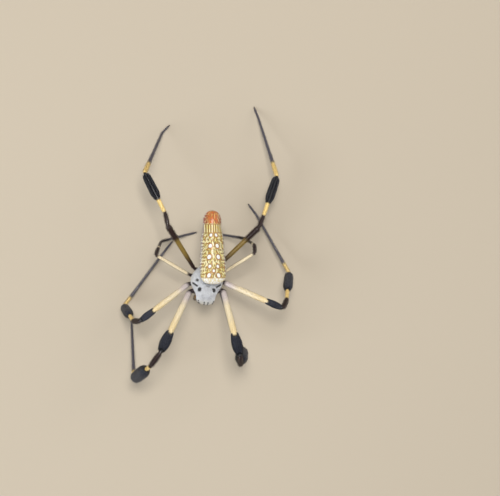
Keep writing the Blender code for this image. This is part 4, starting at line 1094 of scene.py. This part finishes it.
def leg_joints(side, pair):
    """A leg's joints: the coxa's root, the hip, the far end of each segment and the toe."""
    sign = 1.0 if side == "left" else -1.0
    root = body_point(COXA_ROOTS[pair][0], sign * COXA_ROOTS[pair][1], HIP_HEIGHT - COXA_DROP)
    forward, aside = HIPS[pair]
    hip = HIPS_BASE + HIP_HEIGHT * UP + forward * HIPS_AHEAD + sign * aside * HIPS_LEFT
    joints = [root, hip]
    compass, heights = LEG_POSES[(side, pair)]
    for length, heading, height in zip(SEGMENT_LENGTHS[pair], compass, (*heights, TIP_HEIGHT)):
        rise = height - joints[-1][2]
        reach = np.sqrt(length ** 2 - rise ** 2)
        angle = np.radians(heading)
        joints.append(joints[-1] + np.array((reach * np.cos(angle), reach * np.sin(angle), rise)))
    level = unit((joints[-1] - joints[-2]) * np.array((1.0, 1.0, 0.0)))
    joints.append(joints[-1] + TOE_REST * level)
    return joints


def leg_stations(pair, joints):
    """Stations along a leg's middle line, which rounds each bend by an arc.

    Returns the points, the headings, the segment's number and the share run of it.
    """
    headings = [unit(end - start) for start, end in zip(joints, joints[1:])]
    lengths = [np.linalg.norm(end - start) for start, end in zip(joints, joints[1:])]
    radii = [COXA_RADII[pair] * 0.8] + [0.001 * near for near, _, _ in SEGMENT_RADII[pair]] + [0.0002]
    bends = [np.arccos(np.clip(a @ b, -1.0, 1.0)) for a, b in zip(headings, headings[1:])]
    cuts = [0.0] + [BEND_RADIUS_SHARE * radii[n + 1] * np.tan(0.5 * bend) for n, bend in enumerate(bends)]
    cuts += [0.0]
    points, ways, numbers, shares = [], [], [], []
    for n, (start, heading, length) in enumerate(zip(joints, headings, lengths)):
        run = length - cuts[n] - cuts[n + 1]
        steps = np.linspace(cuts[n], length - cuts[n + 1], max(int(run / RING_STEP), 3) + 1)
        points.append(start + steps[:, None] * heading)
        ways.append(np.repeat(heading[None], len(steps), axis=0))
        numbers.append(np.full(len(steps), min(n, 5)))
        shares.append(steps / length if n < 6 else np.full(len(steps), 1.0))
        if n + 1 < len(headings) and bends[n] > 0.02:
            onward = headings[n + 1]
            radius = cuts[n + 1] / np.tan(0.5 * bends[n])
            centre = joints[n + 1] + unit(onward - heading) * radius / np.cos(0.5 * bends[n])
            outward = unit(joints[n + 1] - cuts[n + 1] * heading - centre)
            angle = np.linspace(0.0, bends[n], BEND_RINGS)[1:-1, None]
            points.append(centre + radius * (np.cos(angle) * outward + np.sin(angle) * heading))
            ways.append(-np.sin(angle) * outward + np.cos(angle) * heading)
            half = angle[:, 0] / bends[n] * 2.0 - 1.0
            before = half < 0.0
            numbers.append(np.where(before, n, min(n + 1, 5)))
            shares.append(np.where(before, 1.0 + half * cuts[n + 1] / length,
                                   half * cuts[n + 1] / lengths[n + 1]))
    return np.vstack(points), np.vstack(ways), np.concatenate(numbers), np.concatenate(shares)


def leg_radius(pair, number, share):
    """The skin's radius: each segment's own profile, narrowed at its joints by a soft neck."""
    radius = np.zeros(len(share))
    coxa = COXA_RADII[pair] * eased((0.80, 1.0, 1.0, 0.80, 0.74), (0.0, 0.14, 0.42, 0.66, 1.0), share)
    radius = np.where(number == 0, coxa, radius)
    for segment, (near, middle, far) in enumerate(SEGMENT_RADII[pair], start=1):
        length = SEGMENT_LENGTHS[pair][segment - 1]
        shape = 0.001 * eased((near, middle, far), (0.0, 0.5, 1.0), share)
        from_near = share * length / (0.001 * near)
        from_far = (1.0 - share) * length / (0.001 * far)
        neck = 0.74 + 0.26 * step_up(from_near, 0.05, 0.75)
        if segment < 5:
            collar = 0.76 + 0.24 * step_up(from_far, 0.05, 0.55) + 0.03 * bell(from_far - 0.8, 0.35)
        else:
            collar = 0.55 + 0.45 * step_up(from_far, 0.2, 3.0)
        radius = np.where(number == segment, shape * neck * collar, radius)
    return radius - LEG_INSET


def leg_tint(pair, number, share, ridge):
    """The colour of a leg's skin from its segment, the share run of it and the back's side.

    Ridge is one along the segment's upper line and minus one along its lower line.
    """
    if pair in (1, 2):
        start = BRUSHES[(pair, "femur")][0]
        shaft = layered(LEG_PALE, (LEG_CREAM, step_up(share, 0.10, 0.30)),
                        (LEG_YELLOW, 0.40 * step_up(share, start - 0.30, start - 0.04)))
        shaft = mixed(LEG_PURPLE, shaft, step_up(share, 0.0, 0.07))
        dark = step_up(share, start - 0.01 + 0.03 * ridge, start + 0.03 + 0.03 * ridge)
        femur = mixed(shaft, LEG_BLACK, dark)
    elif pair == 4:
        femur = layered(LEG_BROWN, (LEG_OLIVE, step_up(share, 0.12, 0.42)),
                        (LEG_BROWN, step_up(share, 0.64, 0.74)))
    else:
        femur = layered(LEG_PURPLE, (LEG_CREAM, step_up(share, 0.02, 0.12)),
                        (STRIPE_BROWN, step_up(-ridge, -0.65, -0.1) * 0.9),
                        (LEG_BROWN, step_up(share, 0.90, 0.97)))
    if pair == 3:
        tibia = mixed(LEG_PURPLE, LEG_CREAM, bell(share - 0.12, 0.06))
        metatarsus = mixed(LEG_PURPLE, LEG_GREY, step_up(share, 0.1, 0.4))
    else:
        start, band = BRUSHES[(pair, "tibia")][0], METATARSUS_BANDS[pair]
        tibia = layered(LEG_BROWN, (LEG_YELLOW, step_up(share, 0.015, 0.06)),
                        (LEG_BLACK, step_up(share, start - 0.02, start + 0.015)))
        metatarsus = mixed(LEG_YELLOW, LEG_GREY, step_up(share, band - 0.02, band + 0.03))
    coxa = mixed(JOINT_BROWN, LEG_PURPLE, share)
    patella = mixed(LEG_PURPLE, LEG_BROWN, 0.5 + 0.4 * ridge)
    tint = np.zeros((*np.shape(share), 3)) + LEG_GREY
    for segment, part_tint in enumerate((coxa, femur, patella, tibia, metatarsus)):
        tint = np.where((number == segment)[..., None], part_tint, tint)
    neck = np.maximum(step_up(-share, -0.012, 0.0), step_up(share, 0.988, 1.0)) * (number < 4)
    return mixed(tint, JOINT_BROWN, 0.9 * neck)


leg_finish = cuticle("leg_cuticle", 0.32, 0.000006, 0.00009, coat=0.3, mottle=0.2)
brush_finish = hair_finish("brush_hairs", 0.34, sheen=0.15)
claw_finish = cuticle("claw_horn", 0.22, 0.000002, 0.00005, coat=0.6)
BRISTLES = {1: 3600, 2: 3400, 3: 2100, 4: 3600}
LEG_FRAME_STEP = 0.002
BRISTLE_LENGTH = 0.00042
BRISTLE_WIDTH = 0.000038
BRISTLE_RISE = 0.00013
BRUSH_RUN = 0.00095
BRUSH_WIDTH = 0.000052
CLAW_LENGTH = 0.00032
CLAW_RADIUS = 0.00004


for side, pair in LEG_POSES:
    label = "leg" + str(pair) + "_" + side
    joints = leg_joints(side, pair)
    stations, ways, numbers, shares = leg_stations(pair, joints)
    radii = leg_radius(pair, numbers, shares)
    sides = carried_frames(ways)
    limb = tube_surface(stations, ways, sides, radii)
    count = len(stations)
    segment_ways = np.array([unit(end - start) for start, end in zip(joints, joints[1:7])])
    ridges = unit(UP - (segment_ways @ UP)[:, None] * segment_ways)

    def segment_of(share):
        """The segment's number and the share run of it, at shares of the whole leg."""
        spot = np.clip(np.round(np.asarray(share) * (count - 1)).astype(int), 0, count - 1)
        return numbers[spot], shares[spot], stations[spot]

    limb_points, limb_triangles, limb_places = closed_skin(limb, count, LEG_SIDES, 0.0)
    number, share, station = segment_of(limb_places[:, 0])
    ridge = np.sum(unit(limb_points - station) * ridges[number], axis=1)
    nodes_covered = [label + "_" + part for part in ("coxa", "femur", "patella", "tibia", "foot")]
    add_piece(label + "_skin", (limb_points, limb_triangles), leg_finish,
              leg_tint(pair, number, share, ridge), nodes_covered)

    # Short bristles all over, lying towards the tip
    chance = np.random.default_rng(100 * pair + len(side))

    def hairy(share, turn):
        """Where bristles grow: everywhere but under the brushes and at the root."""
        number, part, _ = segment_of(share)
        bare = number == 0
        for name in ("femur", "tibia"):
            if (pair, name) in BRUSHES:
                begin, stop = BRUSHES[(pair, name)][:2]
                bare = bare | ((number == SEGMENTS.index(name)) & (part > begin) & (part < stop))
        thick = ((pair == 4) & (number == 1) & (part > 0.66)) | (number == 2) | (number >= 4)
        return np.where(bare, 0.0, 1.0 + 1.6 * thick) + 1e-9

    amount = BRISTLES[pair]
    places, roots, normals, heading = rooted(
        limb, amount, 31 * pair + len(side), hairy, (400, 24), LEG_FRAME_STEP)
    number, share, _ = segment_of(places[0])
    ridge = np.sum(normals * ridges[number], axis=1)
    hair_tints = leg_tint(pair, number, share, ridge)
    bright = hair_tints.mean(axis=1) > 0.2
    hair_tints = np.where(bright[:, None], hair_tints * chance.choice((0.35, 0.9), (amount, 1)),
                          hair_tints * 0.8)
    size = chance.uniform(0.7, 1.25, amount)
    thick = ((pair == 4) & (number == 1) & (share > 0.66)) | (number == 2) | (number == 4)
    blades = tufts(roots, normals, heading, BRISTLE_LENGTH * size, BRISTLE_WIDTH,
                   BRISTLE_RISE * size * (1.0 + thick))
    add_coat(label + "_bristles", blades, bristle_finish, hair_tints, places)

    for name in ("femur", "tibia"):
        if (pair, name) not in BRUSHES:
            continue
        begin, stop, reach, amount = BRUSHES[(pair, name)]
        segment = SEGMENTS.index(name)

        def brushed(share, turn):
            """Where a brush grows: densest at the sides, thin along the ridge, V-shaped in front."""
            number, part, _ = segment_of(share)
            surface_spokes = unit(limb(share, turn) - limb(share, turn + 0.5))
            ridge = np.sum(surface_spokes * ridges[segment], axis=-1)
            start = begin + 0.05 * (ridge > 0.75)
            inside = (number == segment) & (part > start) & (part < stop)
            bald_line = step_up(ridge, 0.80, 0.93) if pair != 4 else step_up(ridge, 0.74, 0.84)
            return np.where(inside, 1.0 - (0.97 if pair == 4 else 0.30) * bald_line, 0.0)

        places, roots, normals, heading = rooted(
            limb, amount, 57 * pair + segment, brushed, (900, 40), LEG_FRAME_STEP)
        _, share, _ = segment_of(places[0])
        near = 0.40 + 0.60 * step_up(share, begin - 0.03, begin + 0.12)
        far = 0.50 + 0.50 * step_up(-share, -stop, -stop + 0.13)
        depth = reach - 0.001 * SEGMENT_RADII[pair][segment - 1][1]
        rise = depth * near * far * chance.uniform(0.80, 1.18, amount)
        run = BRUSH_RUN * chance.uniform(0.7, 1.2, amount) * (1.0 - 0.6 * step_up(share, stop - 0.12, stop))
        blades = tufts(roots, normals, heading, run, BRUSH_WIDTH, rise, 0.06)
        ridge = np.sum(normals * ridges[segment], axis=1)
        # The brush hairs are black; those facing up along the ridge get a slate-blue painted sheen,
        # strongest on the front two pairs
        sheen = step_up(ridge, 0.1, 0.8) * (0.55 if pair != 4 else 0.15)
        shade = mixed(LEG_BLACK, BRUSH_PAINTED_SHEEN, sheen) * chance.uniform(0.6, 1.5, (amount, 1))
        add_coat(label + "_" + name + "_brush", blades, brush_finish, shade, places)

    toe = joints[-1]
    level = unit(toe - joints[-2])
    aside = np.cross(UP, level)
    claws = []
    for place in (-1.0, 0.0, 1.0):
        reach = CLAW_LENGTH * (1.0 if place else 0.7)
        base = toe + 0.00005 * place * aside + 0.00004 * UP
        arc_steps = np.linspace(0.0, 1.0, 6)[:, None]
        route = base + level * reach * arc_steps + place * aside * 0.0001 * arc_steps + UP * (
            0.00016 * np.sin(np.pi * 0.62 * arc_steps) - 0.00020 * arc_steps ** 2)
        route[:, 2] = np.maximum(route[:, 2], 0.00004)
        claws.append(horn(route, CLAW_RADIUS * (1.0 - 0.9 * arc_steps[:, 0])))
    add_piece(label + "_claws", joined(claws), claw_finish, LEG_BROWN)
